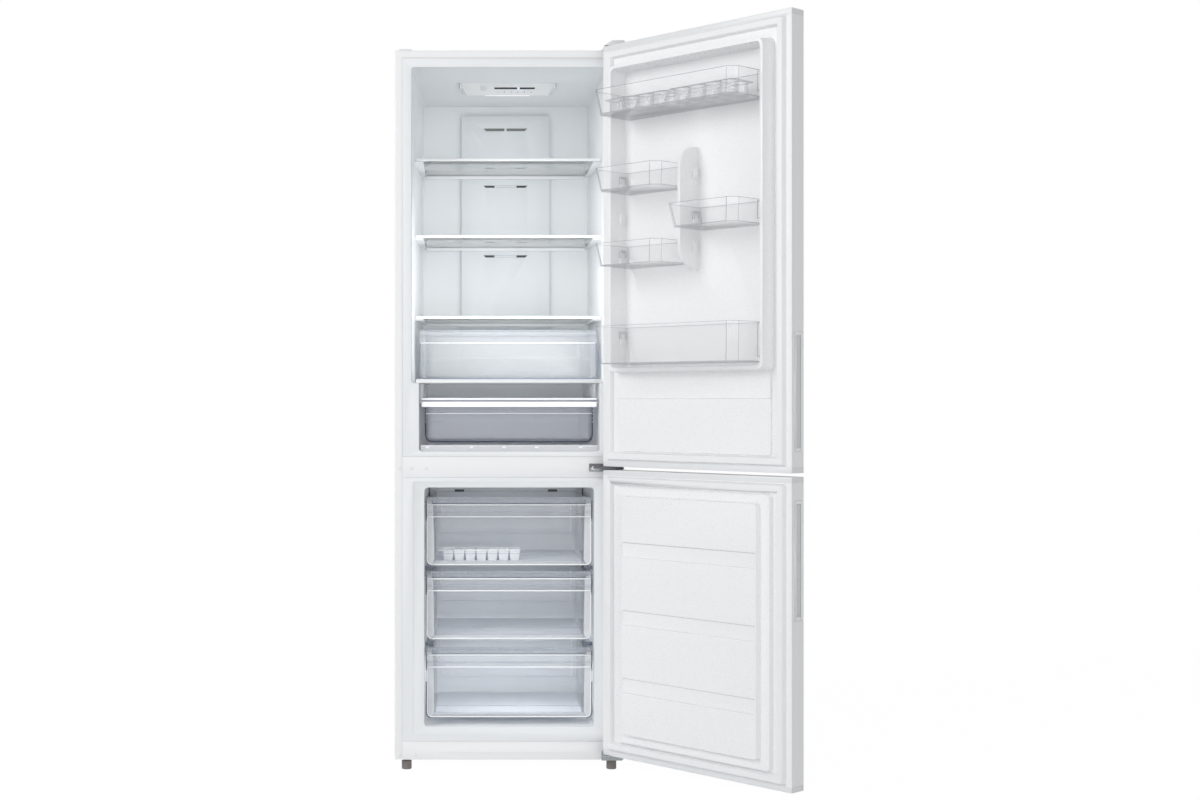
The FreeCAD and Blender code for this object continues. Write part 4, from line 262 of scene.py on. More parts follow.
def moulded(name, color, roughness=0.25, grain=0.03, scale=1600, alpha=1.0):
    """Moulded or vacuum-formed plastic: an even tone over a fine grain."""
    mat = finish(name, color, roughness, alpha=alpha)
    bump(mat, noise(mat, scale), grain, 0.0001)
    vary_roughness(mat, noise(mat, 320, 3), roughness - 0.03, roughness + 0.04)
    vary_color(mat, noise(mat, 800, 3), tuple(c * 0.99 for c in color), color)
    return mat


def clear(name, color, alpha, roughness=0.05):
    """Clear moulding: a thin see-through body under a glossy surface."""
    mat = finish(name, color, 0.25, alpha=alpha)
    vary_color(mat, noise(mat, 500, 3), tuple(c * 0.97 for c in color), color)
    surface_gloss(mat, roughness)
    return mat


# Paint, liners and other opaque plastic of the cabinet, the shelves and the doors.
WHITE_PAINT = painted("white_coating", (0.87, 0.875, 0.88))
SIDE_PAINT = painted("door_coating", (0.86, 0.865, 0.87))
RAIL_PAINT = painted("rail_coating", (0.87, 0.875, 0.88))
LINER = moulded("liner_plastic", (0.845, 0.865, 0.88), 0.22)
DOOR_LINER = moulded("door_liner_plastic", (0.885, 0.89, 0.895), 0.28)
PANEL = moulded("panel_plastic", (0.825, 0.85, 0.865), 0.30, 0.08, 2200)
CONTROL = moulded("control_plastic", (0.88, 0.89, 0.90), 0.25)
CAP = moulded("cap_plastic", (0.76, 0.77, 0.78), 0.35)
PLUG = moulded("plug_plastic", (0.84, 0.845, 0.85), 0.3)
GRIP = moulded("grip_plastic", (0.93, 0.935, 0.94), 0.22)
GASKET = moulded("gasket_vinyl", (0.85, 0.855, 0.86), 0.5, 0.12, 700)
# White trim plastic; the same white also lays painted highlights on the crisper's and the freezer
# drawers' lips and rear walls.
TRIM_AND_HIGHLIGHT = moulded("trim_plastic_and_highlight", (0.90, 0.91, 0.92), 0.15)

# Clear and frosted plastic, glass, and the painted shade and painted highlights on their edges and
# lines.
BIN = clear("bin_plastic", (0.90, 0.91, 0.93), 0.04)
# Dark bars along the bins' edges: painted shade.
BIN_EDGE_SHADE = clear("bin_edge_painted_shade", (0.40, 0.42, 0.48), 0.62, 0.1)
DRAWER = clear("freezer_drawer_plastic", (0.64, 0.70, 0.81), 0.08)
# Dark bars along the freezer drawers' edges: painted shade.
DRAWER_EDGE_SHADE = clear("drawer_edge_painted_shade", (0.44, 0.48, 0.55), 0.5, 0.1)
FROST = clear("frosted_plastic", (0.84, 0.86, 0.885), 0.45, 0.2)
FAINT = clear("faint_plastic", (0.84, 0.86, 0.885), 0.18, 0.2)
FLOOR_FROST = moulded("drawer_floor_frost", (0.88, 0.90, 0.94), 0.6, 0.1, 900, 0.75)
# Blue-grey: a band of painted shade at the top of each freezer drawer's front.
LIP_BAND_SHADE = clear("drawer_head_shade", (0.28, 0.32, 0.38), 0.2, 0.2)
# Near black: painted shade in the gaps beside, under and between the freezer drawers, and along
# their lips.
DEEP_SHADE = clear("deep_gap_shade", (0.10, 0.13, 0.19), 0.75, 0.2)
CRISPER = clear("crisper_plastic", (0.68, 0.71, 0.74), 0.30, 0.15)
# Dark bars along the crisper's edges: painted shade.
CRISPER_EDGE_SHADE = clear("crisper_edge_painted_shade", (0.42, 0.47, 0.56), 0.6, 0.1)
SMOKY = clear("chiller_plastic", (0.44, 0.47, 0.55), 0.22)
# Near black: painted shade round the chiller drawer's front, and the four dark marks on the liner.
DARK_SHADE_AND_MARKS = finish("chiller_edge_shade_and_liner_marks", (0.015, 0.02, 0.06), 0.35)
vary_roughness(DARK_SHADE_AND_MARKS, noise(DARK_SHADE_AND_MARKS, 400), 0.3, 0.4)
# Blue-grey: painted shade in the gap round the crisper's front.
CRISPER_SHADE = clear("crisper_painted_shade", (0.30, 0.36, 0.46), 0.75, 0.2)
SILL = clear("sill_plastic", (0.80, 0.81, 0.85), 0.75, 0.2)
# Grey: painted shade in the freezer door's grooves and the grips' hollows.
SHADE_IN_CREASES = moulded("crease_shade", (0.60, 0.61, 0.62), 0.5)
# Near white: painted highlights along the sill, the chiller's rib, the grips' rims and the freezer
# door's grooves.
PAINTED_HIGHLIGHT = clear("highlight_white", (0.94, 0.95, 0.96), 0.85, 0.1)
GLASS = clear("shelf_glass", (0.70, 0.78, 0.78), 0.05, 0.01)
EGG = clear("egg_tray_plastic", (0.86, 0.87, 0.89), 0.10)
# Dark bars along the egg cups' rims: painted shade.
EGG_EDGE_SHADE = finish("egg_tray_edge_painted_shade", (0.24, 0.25, 0.28), 0.3)
vary_roughness(EGG_EDGE_SHADE, noise(EGG_EDGE_SHADE, 500), 0.25, 0.4)

# Small parts, painted shade and prints.
ICE = moulded("ice_tray_plastic", (0.90, 0.915, 0.925), 0.3)
HINGE = painted("hinge_steel", (0.12, 0.12, 0.125), 0.38)
HINGE_ZINC = finish("hinge_zinc", (0.33, 0.35, 0.36), 0.35, metallic=0.8)
vary_roughness(HINGE_ZINC, noise(HINGE_ZINC, 300, 3), 0.24, 0.40)
SCREW = finish("screw_steel", (0.55, 0.55, 0.56), 0.3, metallic=1.0)
vary_roughness(SCREW, noise(SCREW, 500), 0.24, 0.38)
FOOT = moulded("foot_plastic", (0.20, 0.18, 0.17), 0.5, 0.1)
DARK = moulded("dark_plastic", (0.05, 0.05, 0.055), 0.45, 0.1)
# Grey: painted shade on clips' outer faces and in their slots.
GAP_SHADE = moulded("gap_shade", (0.30, 0.33, 0.37), 0.6)
# Near black and warm dark grey: painted shade behind the air slots.
VENT_SHADE = moulded("vent_shade", (0.10, 0.10, 0.10), 0.7)
WARM_VENT_SHADE = moulded("upper_vent_painted_shade", (0.27, 0.28, 0.26), 0.7)
# Grey: painted shade in narrow gaps, at a web's edges and under the shelves' glass.
LINE = moulded("line_shade", (0.50, 0.54, 0.56), 0.5)
DISPLAY = finish("display_window", (0.03, 0.035, 0.045), 0.1, coat=0.6)
vary_roughness(DISPLAY, noise(DISPLAY, 600), 0.08, 0.14)
PRINT = finish("panel_print", (0.22, 0.23, 0.25), 0.5)
vary_roughness(PRINT, noise(PRINT, 600), 0.45, 0.55)
FOAM = moulded("rigid_foam", (0.83, 0.76, 0.55), 0.9, 0.5, 300)
BLACK_CAN = painted("compressor_paint", (0.03, 0.03, 0.033), 0.35)
BUTTON = moulded("button_plastic", (0.74, 0.76, 0.78), 0.25)

# Bare metals: cloudy zinc, the fins' aluminium and coated tube.
ZINC = finish("zinc_coating", (0.60, 0.62, 0.63), 0.42, metallic=0.85)
vary_color(ZINC, noise(ZINC, 55, 4), (0.50, 0.52, 0.53), (0.68, 0.70, 0.71))
vary_roughness(ZINC, noise(ZINC, 40, 4), 0.34, 0.52)
ALUMINIUM = finish("fin_aluminium", (0.80, 0.81, 0.82), 0.35, metallic=1.0)
vary_roughness(ALUMINIUM, noise(ALUMINIUM, 400, 2, (1, 1, 0.05)), 0.28, 0.45)
COPPER = finish("coated_tube", (0.32, 0.20, 0.13), 0.4, metallic=0.7)
vary_roughness(COPPER, noise(COPPER, 200), 0.3, 0.5)

# Lit pieces.
LAMP_LENS = moulded("lamp_lens_plastic", (0.93, 0.95, 0.96), 0.35)
glow(LAMP_LENS, (0.95, 0.98, 1.0), 0.9)
LED = finish("indicator", (0.6, 0.75, 1.0), 0.3)
glow(LED, (0.35, 0.60, 1.0), 0.8)

# ---------------------------------------------------------------- piece helpers

BREAK_ANGLE = math.radians(32)        # a sharper edge of the CAD has its edge broken
SMOOTH_ANGLE = math.radians(35)       # faces that meet below this are shaded as one surface
WIRE_SMOOTH_ANGLE = math.radians(60)  # the same for wires, which have few sides
FLAT_ANGLE = math.radians(0.6)        # facets that meet below this are one flat face
WELD_DISTANCE = 2e-6                  # points of the CAD's mesh closer than this are one
SHORTEST_EDGE = 0.5                   # of the edges that get a wire, in millimetres
DISC_SIDES = 32
ARC_STEPS = 6


def body_of(node):
    """The rigid body that a node belongs to."""
    return nodes[node]["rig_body"]


def box_of(node):
    """A node's low and high corner in millimetres."""
    return tuple(Vector(corner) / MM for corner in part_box(node))


def paint(mesh, mat):
    mesh.materials.clear()
    mesh.materials.append(mat)


def shade(mesh, angle):
    mesh.shade_smooth()
    mesh.set_sharp_from_angle(angle=angle)


def new_piece(name, bm, mat, body, smooth=SMOOTH_ANGLE):
    """A mesh piece in metres that rides on a body."""
    mesh = bpy.data.meshes.new(name)
    bmesh.ops.recalc_face_normals(bm, faces=bm.faces)
    bm.to_mesh(mesh)
    bm.free()
    shade(mesh, smooth)
    paint(mesh, mat)
    piece = bpy.data.objects.new(name, mesh)
    bpy.context.scene.collection.objects.link(piece)
    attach(piece, body)
    return piece


def cad_shape(node):
    """A node's mesh with its points welded and its flat facets joined."""
    bm = bmesh.new()
    bm.from_mesh(nodes[node].data)
    bmesh.ops.remove_doubles(bm, verts=bm.verts, dist=WELD_DISTANCE)
    bmesh.ops.dissolve_limit(bm, angle_limit=FLAT_ANGLE, verts=bm.verts, edges=bm.edges)
    return bm


def apply_modifiers(piece):
    """Puts the shape that the modifiers give into the piece's mesh."""
    bpy.context.view_layer.update()
    shaped = piece.evaluated_get(bpy.context.evaluated_depsgraph_get())
    mesh = bpy.data.meshes.new_from_object(shaped)
    piece.modifiers.clear()
    piece.data = mesh
    shade(mesh, SMOOTH_ANGLE)


def rounded(node, mat, width, segments=2):
    """Stand-in for a CAD node with its sharp edges broken, as a mould or a press leaves them."""
    piece = new_piece(node + "_finished", cad_shape(node), mat, body_of(node))
    bevel = piece.modifiers.new("edges", "BEVEL")
    bevel.width = width * MM
    bevel.segments = segments
    bevel.limit_method = "ANGLE"
    bevel.angle_limit = BREAK_ANGLE
    bevel.use_clamp_overlap = True
    apply_modifiers(piece)
    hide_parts(node)


def add_box(bm, low, high, matrix):
    """A box between two corners given in millimetres."""
    low, high = Vector(low) * MM, Vector(high) * MM
    middle, span = (low + high) / 2, high - low
    place = matrix @ Matrix.Translation(middle) @ Matrix.Diagonal((*span, 1))
    bmesh.ops.create_cube(bm, size=1, matrix=place)


def soft_boxes(name, boxes, mat, body, width=0.5, matrix=Matrix()):
    """Boxes with broken edges as one piece."""
    bm = bmesh.new()
    for low, high in boxes:
        add_box(bm, low, high, matrix)
    bmesh.ops.bevel(bm, geom=bm.edges[:], offset=width * MM, segments=2, profile=0.6,
                    affect="EDGES", clamp_overlap=True)
    new_piece(name, bm, mat, body)


def add_disc(bm, centre, axis, radius, depth, taper=1.0):
    """A short cylinder, in millimetres, from its centre point along an axis."""
    turn = Vector((0, 0, 1)).rotation_difference(axis).to_matrix().to_4x4()
    middle = Vector(centre) * MM + axis * depth * MM / 2
    bmesh.ops.create_cone(bm, cap_ends=True, segments=DISC_SIDES, radius1=radius * MM,
                          radius2=radius * taper * MM, depth=depth * MM,
                          matrix=Matrix.Translation(middle) @ turn)


def screw_heads(name, places, axis, radius, body, mat=SCREW):
    """Domed heads with a cross recess."""
    proud, skirt = 1.2, 0.6            # the head's height, and its straight part's share of it
    arm_long, arm_wide = 1.2, 0.26     # of the recess, as shares of the radius
    recess_turn = 20
    axis = Vector(axis).normalized()
    heads, recess = bmesh.new(), bmesh.new()
    for place in places:
        centre = Vector(place)
        add_disc(heads, centre, axis, radius, proud * skirt)
        add_disc(heads, centre + axis * proud * skirt, axis, radius, proud * (1 - skirt), taper=0.7)
    new_piece(name, heads, mat, body)
    side = axis.orthogonal().normalized()
    for place in places:
        centre = (Vector(place) + axis * (proud + 0.02)) * MM
        for turn in (0, 90):
            arm = Matrix.Rotation(math.radians(turn + recess_turn), 4, axis) @ side
            basis = Matrix((arm, axis.cross(arm), axis)).transposed().to_4x4()
            size = Matrix.Diagonal((radius * arm_long * MM, radius * arm_wide * MM, 0.1 * MM, 1))
            bmesh.ops.create_cube(recess, size=1,
                                  matrix=Matrix.Translation(centre) @ basis @ size)
    # The recess is a thin dark cross on the dome: painted shade.
    new_piece(name + "_recess", recess, DARK, body)


def add_wire(bm, points, radius, closed=False, sides=6):
    """A thin bar along points given in millimetres, mitred at its bends."""
    line = [Vector(point) * MM for point in points]
    count = len(line)
    loops = []
    side = None
    for i, point in enumerate(line):
        before = line[i - 1] if i or closed else None
        after = line[(i + 1) % count] if i < count - 1 or closed else None
        come = (point - before).normalized() if before is not None else (after - point).normalized()
        go = (after - point).normalized() if after is not None else come
        along = (come + go).normalized()
        # The ring's first side is carried over from the ring before it, so that nothing twists.
        side = along.orthogonal() if side is None else side - along * side.dot(along)
        side.normalize()
        up = along.cross(side)
        stretch = 1 / max(0.5, along.dot(go))
        ring = []
        for k in range(sides):
            turn = 2 * math.pi * k / sides
            offset = side * math.cos(turn) + up * math.sin(turn)
            ring.append(bm.verts.new(point + offset * radius * MM * stretch))
        loops.append(ring)
    for i in range(count if closed else count - 1):
        a, b = loops[i], loops[(i + 1) % count]
        for k in range(sides):
            bm.faces.new((a[k], a[(k + 1) % sides], b[(k + 1) % sides], b[k]))
    if not closed:
        bm.faces.new(loops[0][::-1])
        bm.faces.new(loops[-1])


def wires(name, paths, radius, mat, body, closed=False):
    """Thin bars as one piece: painted highlights and painted shade on the edges of clear plastic,
    and in narrow gaps.
    """
    bm = bmesh.new()
    for path in paths:
        add_wire(bm, path, radius, closed)
    new_piece(name, bm, mat, body, WIRE_SMOOTH_ANGLE)


def edge_wires(node, mat, radius, angle=40):
    """Painted shade along the edges of a clear moulding, just inside the CAD's corners, where the
    real edges catch light and shade.
    """
    shape = cad_shape(node)
    lines = bmesh.new()
    for edge in shape.edges:
        if not edge.is_manifold or edge.calc_face_angle(0) < math.radians(angle):
            continue
        outward = sum((face.normal for face in edge.link_faces), Vector())
        a, b = (vert.co / MM - outward.normalized() * radius for vert in edge.verts)
        if (b - a).length > SHORTEST_EDGE:
            add_wire(lines, (a, b), radius, sides=4)
    shape.free()
    new_piece(node + "_edge_shade", lines, mat, body_of(node), WIRE_SMOOTH_ANGLE)


def arc(centre, radius, start, stop):
    """Points of an arc in a plane parallel to the front, in millimetres, for a wire."""
    points = []
    for k in range(ARC_STEPS + 1):
        turn = math.radians(start + (stop - start) * k / ARC_STEPS)
        offset = (radius * math.cos(turn), 0, radius * math.sin(turn))
        points.append(tuple(c + o for c, o in zip(centre, offset)))
    return points


def tray_line(half, y, head, foot, radius):
    """A U in a plane parallel to the front, with rounded lower corners."""
    left = arc((-half + radius, y, foot + radius), radius, 180, 270)
    right = arc((half - radius, y, foot + radius), radius, 270, 360)
    return [(-half, y, head)] + left + right + [(half, y, head)]


def across(half, y, z):
    """A level line from side to side."""
    return [(-half, y, z), (half, y, z)]


def slab(half, front, back, foot, head):
    """Corners of a box that is centred on the cabinet."""
    return (-half, front, foot), (half, back, head)


def one_side(sign, inner, outer, front, back, foot, head):
    """Corners of a box left (-1) or right (1) of the centre line."""
    left, right = sorted((sign * inner, sign * outer))
    return (left, front, foot), (right, back, head)


# ---------------------------------------------------------------- cabinet

paint(nodes["cabinet_shell"].data, WHITE_PAINT)
rounded("fridge_liner", LINER, 1.2)
rounded("freezer_liner", LINER, 1.2)
rounded("cross_rail", RAIL_PAINT, 0.4)
rounded("bottom_rail", RAIL_PAINT, 0.4)
paint(nodes["back_panel"].data, ZINC)
paint(nodes["base_pan"].data, ZINC)
rounded("compressor_cover", ZINC, 0.3)
paint(nodes["insulation_foam"].data, FOAM)
paint(nodes["condenser_tubes"].data, COPPER)
rounded("compressor", BLACK_CAN, 0.8)
rounded("evaporation_tray", DARK, 0.6)
paint(nodes["evaporator"].data, ALUMINIUM)
rounded("evaporator_fan_motor", ZINC, 0.6)
rounded("evaporator_fan", DARK, 0.4)
rounded("freezer_back_panel", PANEL, 0.8)
rounded("fridge_duct_panel", PANEL, 1.0)
rounded("control_panel", CONTROL, 0.4)
rounded("lamp_lens", LAMP_LENS, 0.8)
rounded("control_button", BUTTON, 0.2)
rounded("top_hinge", HINGE, 0.6)
rounded("middle_hinge", HINGE, 0.6)
# The middle hinge's left end shows bare zinc, with a white screw on it.
PLATE_FRONT = -3.6
soft_boxes("middle_hinge_plate", [((210, PLATE_FRONT, 777.5), (243, PLATE_FRONT + 1, 786))],
           HINGE_ZINC, "cabinet", 0.4)
screw_heads("middle_hinge_screw", [(218, PLATE_FRONT, 785)], (0, -1, 0), 4.4, "cabinet", TRIM_AND_HIGHLIGHT)
rounded("bottom_hinge", HINGE_ZINC, 0.6)


def rear_screws():
    """Rows of screws down the back panel's edges and round the compressor's cover."""
    radius, rearwards = 4.0, (0, 1, 0)
    column, levels = 286, (340, 710, 1090, 1470, 1850)
    back = box_of("back_panel")[1].y
    screw_heads("back_panel_screws", [(x, back, z) for x in (-column, column) for z in levels],
                rearwards, radius, "cabinet")
    inset = 9
    low, high = box_of("compressor_cover")
    screw_heads("cover_screws",
                [(x, high.y, z) for x in (low.x + inset, 0, high.x - inset)
                 for z in (low.z + inset, high.z - inset)], rearwards, radius, "cabinet")


rear_screws()
rounded("top_hinge_cover", CAP, 0.8)
rounded("blanking_plugs", PLUG, 0.3)
rounded("mains_inlet", DARK, 0.5)
rounded("foot_left", FOOT, 0.6)
rounded("foot_right", FOOT, 0.6)
rounded("rear_rollers", DARK, 0.8)


def vent_shade_plates():
    """Dark plates behind the air slots of the two back panels: painted shade."""
    slot_half, front, back = 66, 468.9, 469.5
    soft_boxes("duct_vent_upper", [slab(slot_half, front, back, 1734, 1745)], WARM_VENT_SHADE,
               "cabinet", 0.2)
    soft_boxes("duct_vents_lower", [slab(slot_half, front, back, 1570, 1580),
                                    slab(slot_half, front, back, 1369, 1380)], VENT_SHADE,
               "cabinet", 0.2)
    soft_boxes("freezer_vent_shade", [one_side(sign, 117, 147, 404.2, 405, 699, 711)
                                 for sign in (-1, 1)], VENT_SHADE, "cabinet", 0.2)


def duct_gap():
    """Painted shade in the narrow gap round the duct panel, where it meets the liner."""
    corner, plane = 8, 472
    low, high = box_of("fridge_duct_panel")
    foot, shoulder = low.z + 2, high.z - corner
    wires("duct_gap", [[(low.x, plane, foot), (low.x, plane, shoulder)]
                       + arc((low.x + corner, plane, shoulder), corner, 180, 90)
                       + arc((high.x - corner, plane, shoulder), corner, 90, 0)
                       + [(high.x, plane, foot)]], 0.7, LINE, "cabinet")


def duct_web(label, level):
    """The web between a pair of slots, with a fine line of painted shade at each of its edges."""
    half, tall = 30.5, 2.2
    soft_boxes(f"duct_web_{label}", [slab(half, 465.2, 466.2, level - tall, level + tall)],
               PANEL, "cabinet", 0.3)
    wires(f"duct_web_shade_{label}", [across(half, 465.4, level + edge) for edge in (-2.6, 2.6)],
          0.35, LINE, "cabinet")


vent_shade_plates()
duct_gap()
duct_web("upper", 1573.8)
duct_web("lower", 1373.8)

# Control panel: its face leans, so it has a frame of its own.
SLOPE = Matrix.Translation(Vector((0, 177, 1826)) * MM) @ Matrix.Rotation(math.radians(135), 4, "X")


def display(name, left, right, mat, proud=0.5):
    """One window or light of the row along the control panel's face."""
    soft_boxes(name, [((left, -30, -0.2), (right, -24.5, proud))], mat, "cabinet", 0.3, SLOPE)


def panel_clips():
    """The clips at the control panel's two ends, each with painted shade on its outer face."""
    sides, inner, outer = (1, -1), 124, 129.6
    soft_boxes("panel_clips", [one_side(sign, inner, outer, 179, 187, 1803, 1817)
                               for sign in sides], CONTROL, "cabinet", 0.5)
    soft_boxes("panel_clip_ends", [one_side(sign, outer, outer + 1.4, 178.4, 187, 1803.5, 1816.5)
                                   for sign in sides], GAP_SHADE, "cabinet", 0.2)


def panel_digits():
    """Plain numbers in a row beside the windows."""
    row, height, depth = -41.5, 6.4, 0.15
    for i, x in enumerate((-26.5, -8.2, 10.1, 27.8, 46.1, 64.4)):
        digit = bpy.data.curves.new(f"digit_{i + 1}", "FONT")
        digit.body = str(i + 1)
        digit.size = height * MM
        digit.extrude = depth * MM
        digit.align_x = "CENTER"
        piece = bpy.data.objects.new(f"digit_{i + 1}", digit)
        digit.materials.append(PRINT)
        piece.matrix_world = SLOPE @ Matrix.Translation(Vector((x, row, 0.1)) * MM)
        bpy.context.scene.collection.objects.link(piece)
        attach(piece, "cabinet")


display("display_left", -36, 26, DISPLAY)
display("display_right", 33, 74, DISPLAY)
display("display_led", 27.2, 31.8, LED, 0.6)
panel_clips()
panel_digits()

# ---------------------------------------------------------------- shelves and drawers

for shelf in ("shelf_upper", "shelf_middle", "crisper_cover"):
    rounded(shelf + "_glass", GLASS, 0.5)
    rounded(shelf + "_trims", TRIM_AND_HIGHLIGHT, 0.6)
    under_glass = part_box(shelf + "_glass")[0][2] / MM - 3
    # A line of painted shade under the glass, along the rear trim.
    wires(shelf + "_groove", [across(219, 445.7, under_glass)], 0.9, LINE, shelf)
rounded("chiller_shelf", TRIM_AND_HIGHLIGHT, 0.8)


def dress_crisper():
    """The crisper's edges with painted shade along them, a U of painted shade round its front, and
    painted highlights along its lip and rear wall.
    """
    rounded("crisper_drawer", CRISPER, 0.6)
    edge_wires("crisper_drawer", CRISPER_EDGE_SHADE, 0.5)
    wires("crisper_painted_shade", [tray_line(235.6, 128.6, 1112, 1018.9, 15)], 1.6, CRISPER_SHADE,
          "crisper_drawer")
    rear, rear_right, rear_foot = 434.6, 206, 1081.5
    wires("crisper_highlights", [across(232, 129, 1113.7),
                            [(-204, rear, rear_foot), (rear_right, rear, rear_foot),
                             (rear_right, rear, 1122)]], 1.1, TRIM_AND_HIGHLIGHT, "crisper_drawer")


def dress_chiller():
    """The chiller drawer's edges with painted shade along them, and a dark U of painted shade round
    its front that fades out upwards.
    """
    half, face = 218, 29.2
    rounded("chiller_drawer", SMOKY, 0.6)
    edge_wires("chiller_drawer", SMOKY, 0.5)
    wires("chiller_painted_shade", [tray_line(half, face, 902, 852.2, 20)], 1.5, DARK_SHADE_AND_MARKS,
          "chiller_drawer")
    wires("chiller_outline_dashes", [[(side, face, z), (side, face, z + 5)]
                                     for side in (-half, half) for z in (908, 917, 926, 936)],
          1.2, DARK_SHADE_AND_MARKS, "chiller_drawer")


def liner_marks():
    """Four short dark marks on the fridge liner's rear wall, low on the left."""
    wires("liner_marks", [[(x, 479.4, z), (x + 12, 479.4, z)] for x in (-202, -187)
                          for z in (925, 900)], 1.1, DARK_SHADE_AND_MARKS, "cabinet")


def dress_sill():
    """The fridge's sill, in front of the chiller drawer, with a painted highlight along it and five
    clips.
    """
    soft_boxes("sill", [slab(230, 8, 10, 828, 845)], SILL, "cabinet", 0.5)
    wires("sill_highlight", [across(229, 7.6, 840)], 0.9, PAINTED_HIGHLIGHT, "cabinet")
    clip_half = 5
    soft_boxes("sill_clips", [((x - clip_half, 6.4, 836), (x + clip_half, 9, 842))
                              for x in (-211.8, -97.5, -12.9, 71.3, 186.7)],
               TRIM_AND_HIGHLIGHT, "cabinet", 0.6)


def dress_chiller_pull():
    """The chiller's pull, in two bars, and a painted highlight along the rib below it."""
    half, front, back = 228, 15.2, 17
    soft_boxes("chiller_pull", [slab(half, front, back, 943.5, 957),
                                slab(half, front, back, 962, 966.5)], TRIM_AND_HIGHLIGHT, "chiller_drawer", 0.6)
    wires("chiller_rib_highlight", [across(218, 29, 926.5)], 0.9, PAINTED_HIGHLIGHT, "chiller_drawer")


dress_crisper()
dress_chiller()
liner_marks()
dress_sill()
dress_chiller_pull()

# A freezer drawer's front, in millimetres: its corners, and its lip as depths below the top.
CORNER = 13
LIP_HEAD, LIP_FOOT = 20, 51
INSET = 14  # of the front's inner field, from the drawer's side


def drawer_pillar(node, side, sign, half, foot, top):
    """The frosted post at one end of a drawer's front, widest at its rounded foot."""
    outer, head = half - 1, top - 22
    centre = (sign * (outer - CORNER), 0, foot + 1 + CORNER)
    corner = arc(centre, CORNER, 270, 360 if sign > 0 else 180)
    outline = [(x, z) for x, y, z in corner]
    outline += [(sign * outer, head), (sign * (half - 17), head), (sign * (half - 20), foot + 16)]
    bm = bmesh.new()
    rings = []
    for y in (25.2, 25.8):
        rings.append([bm.verts.new((x * MM, y * MM, z * MM)) for x, z in outline])
        bm.faces.new(rings[-1])
    front, back = rings
    count = len(outline)
    for k in range(count):
        after = (k + 1) % count
        bm.faces.new((front[k], front[after], back[after], back[k]))
    new_piece(f"{node}_pillar_{side}", bm, FROST, node)


def drawer_clip(node, side, sign, half, top):
    """The clip at one end of a drawer's lip, with painted shade in its slot and round its snap."""
    soft_boxes(f"{node}_clip_{side}",
               [one_side(sign, half - 14, half - 2, 23.5, 28, top - 18, top - 2)],
               FAINT, node, 1.0)
    slot, face = sign * (half - 12), 24.2
    wires(f"{node}_clip_shade_{side}",
          [[(slot, face, top - 15), (slot, face, top - 4)],
           arc((sign * (half - 7), face, top - 9), 3, 0, 300)], 0.8, GAP_SHADE, node)


def dress_freezer_drawer(node):
    """A freezer drawer's edges and the lines of its front, floor, rear wall and sides: painted
    shade along its edges, under its lip and at its sides, and painted highlights on its front and
    rear wall.
    """
    rounded(node, DRAWER, 0.6)
    edge_wires(node, DRAWER_EDGE_SHADE, 0.45)
    low, high = box_of(node)
    foot, top, half = low.z, high.z, high.x
    field = half - INSET
    for side, sign in (("left", -1), ("right", 1)):
        drawer_pillar(node, side, sign, half, foot, top)
        drawer_clip(node, side, sign, half, top)
    soft_boxes(f"{node}_rim", [slab(field, 25.2, 25.9, foot + 1, foot + 9)], FAINT, node, 0.3)
    # Painted highlights along the lip and round the front.
    wires(f"{node}_lines", [across(half - 2, 22.4, top - LIP_HEAD),
                            across(half - 2, 22.4, top - LIP_FOOT),
                            tray_line(half - 1.6, 25.0, top - 54, foot + 1.8, CORNER)],
          1.4, TRIM_AND_HIGHLIGHT, node)
    # A band of painted shade at the top of the front.
    soft_boxes(f"{node}_head", [slab(field, 24.6, 25.4, top - 17, top - 2)], LIP_BAND_SHADE, node, 0.3)
    rear = high.y - 6
    soft_boxes(f"{node}_floor", [slab(half - 22, 32, rear, foot + 8.6, foot + 9)], FLOOR_FROST,
               node, 0.15)
    wires(f"{node}_shade", [across(field, 22.5, top - 16.5)], 0.8, DEEP_SHADE, node)
    rear_half, rear_head, rear_foot = 183, top - 26, foot + 57
    # Painted highlights on the rear wall.
    wires(f"{node}_back_highlights", [[(-rear_half, rear, rear_head), (-rear_half, rear, rear_foot),
                                  (rear_half, rear, rear_foot), (rear_half, rear, rear_head)]],
          1.3, TRIM_AND_HIGHLIGHT, node)
    wires(f"{node}_side_shade", [[(side, 34, top - 10), (side, 34, top - 62)]
                                 for side in (-half - 1.6, half + 1.6)], 1.3, DEEP_SHADE, node)


def bottom_drawer_shade():
    """Painted shade in the gap round the foot of the lowest drawer."""
    low, high = box_of("freezer_drawer_bottom")
    wires("freezer_drawer_bottom_outline",
          [tray_line(high.x + 1.6, 34, 225, low.z - 1.8, 14)], 1.4, DEEP_SHADE, "freezer_drawer_bottom")


for place in ("top", "middle", "bottom"):
    dress_freezer_drawer("freezer_drawer_" + place)
bottom_drawer_shade()
# Painted shade in the gaps between the freezer drawers, against the liner at each side.
soft_boxes("runner_shade", [one_side(sign, 198, 219, 40, 43, level, level + 10)
                            for sign in (-1, 1) for level in (518, 318)], DEEP_SHADE, "cabinet", 0.5)
rounded("ice_tray", ICE, 0.4)

# ---------------------------------------------------------------- doors

# A door's own frame, as closed, in millimetres: u from its hinge-side edge, p from its skin's
# rear plane into the cabinet.
OPEN = math.radians(132.5)
PIN = Vector((274.9, -36.8, 0))
PIN_TO_CORNER = Vector((22.6, 24.8, 0))
DOOR = (Matrix.Translation(PIN * MM) @ Matrix.Rotation(OPEN, 4, "Z")
        @ Matrix.Translation(PIN_TO_CORNER * MM))


def door_point(u, p, z):
    """A point of the door's own frame, in the cabinet's, for the door as it stands open."""
    return (DOOR @ (Vector((-u, p, z)) * MM)) / MM


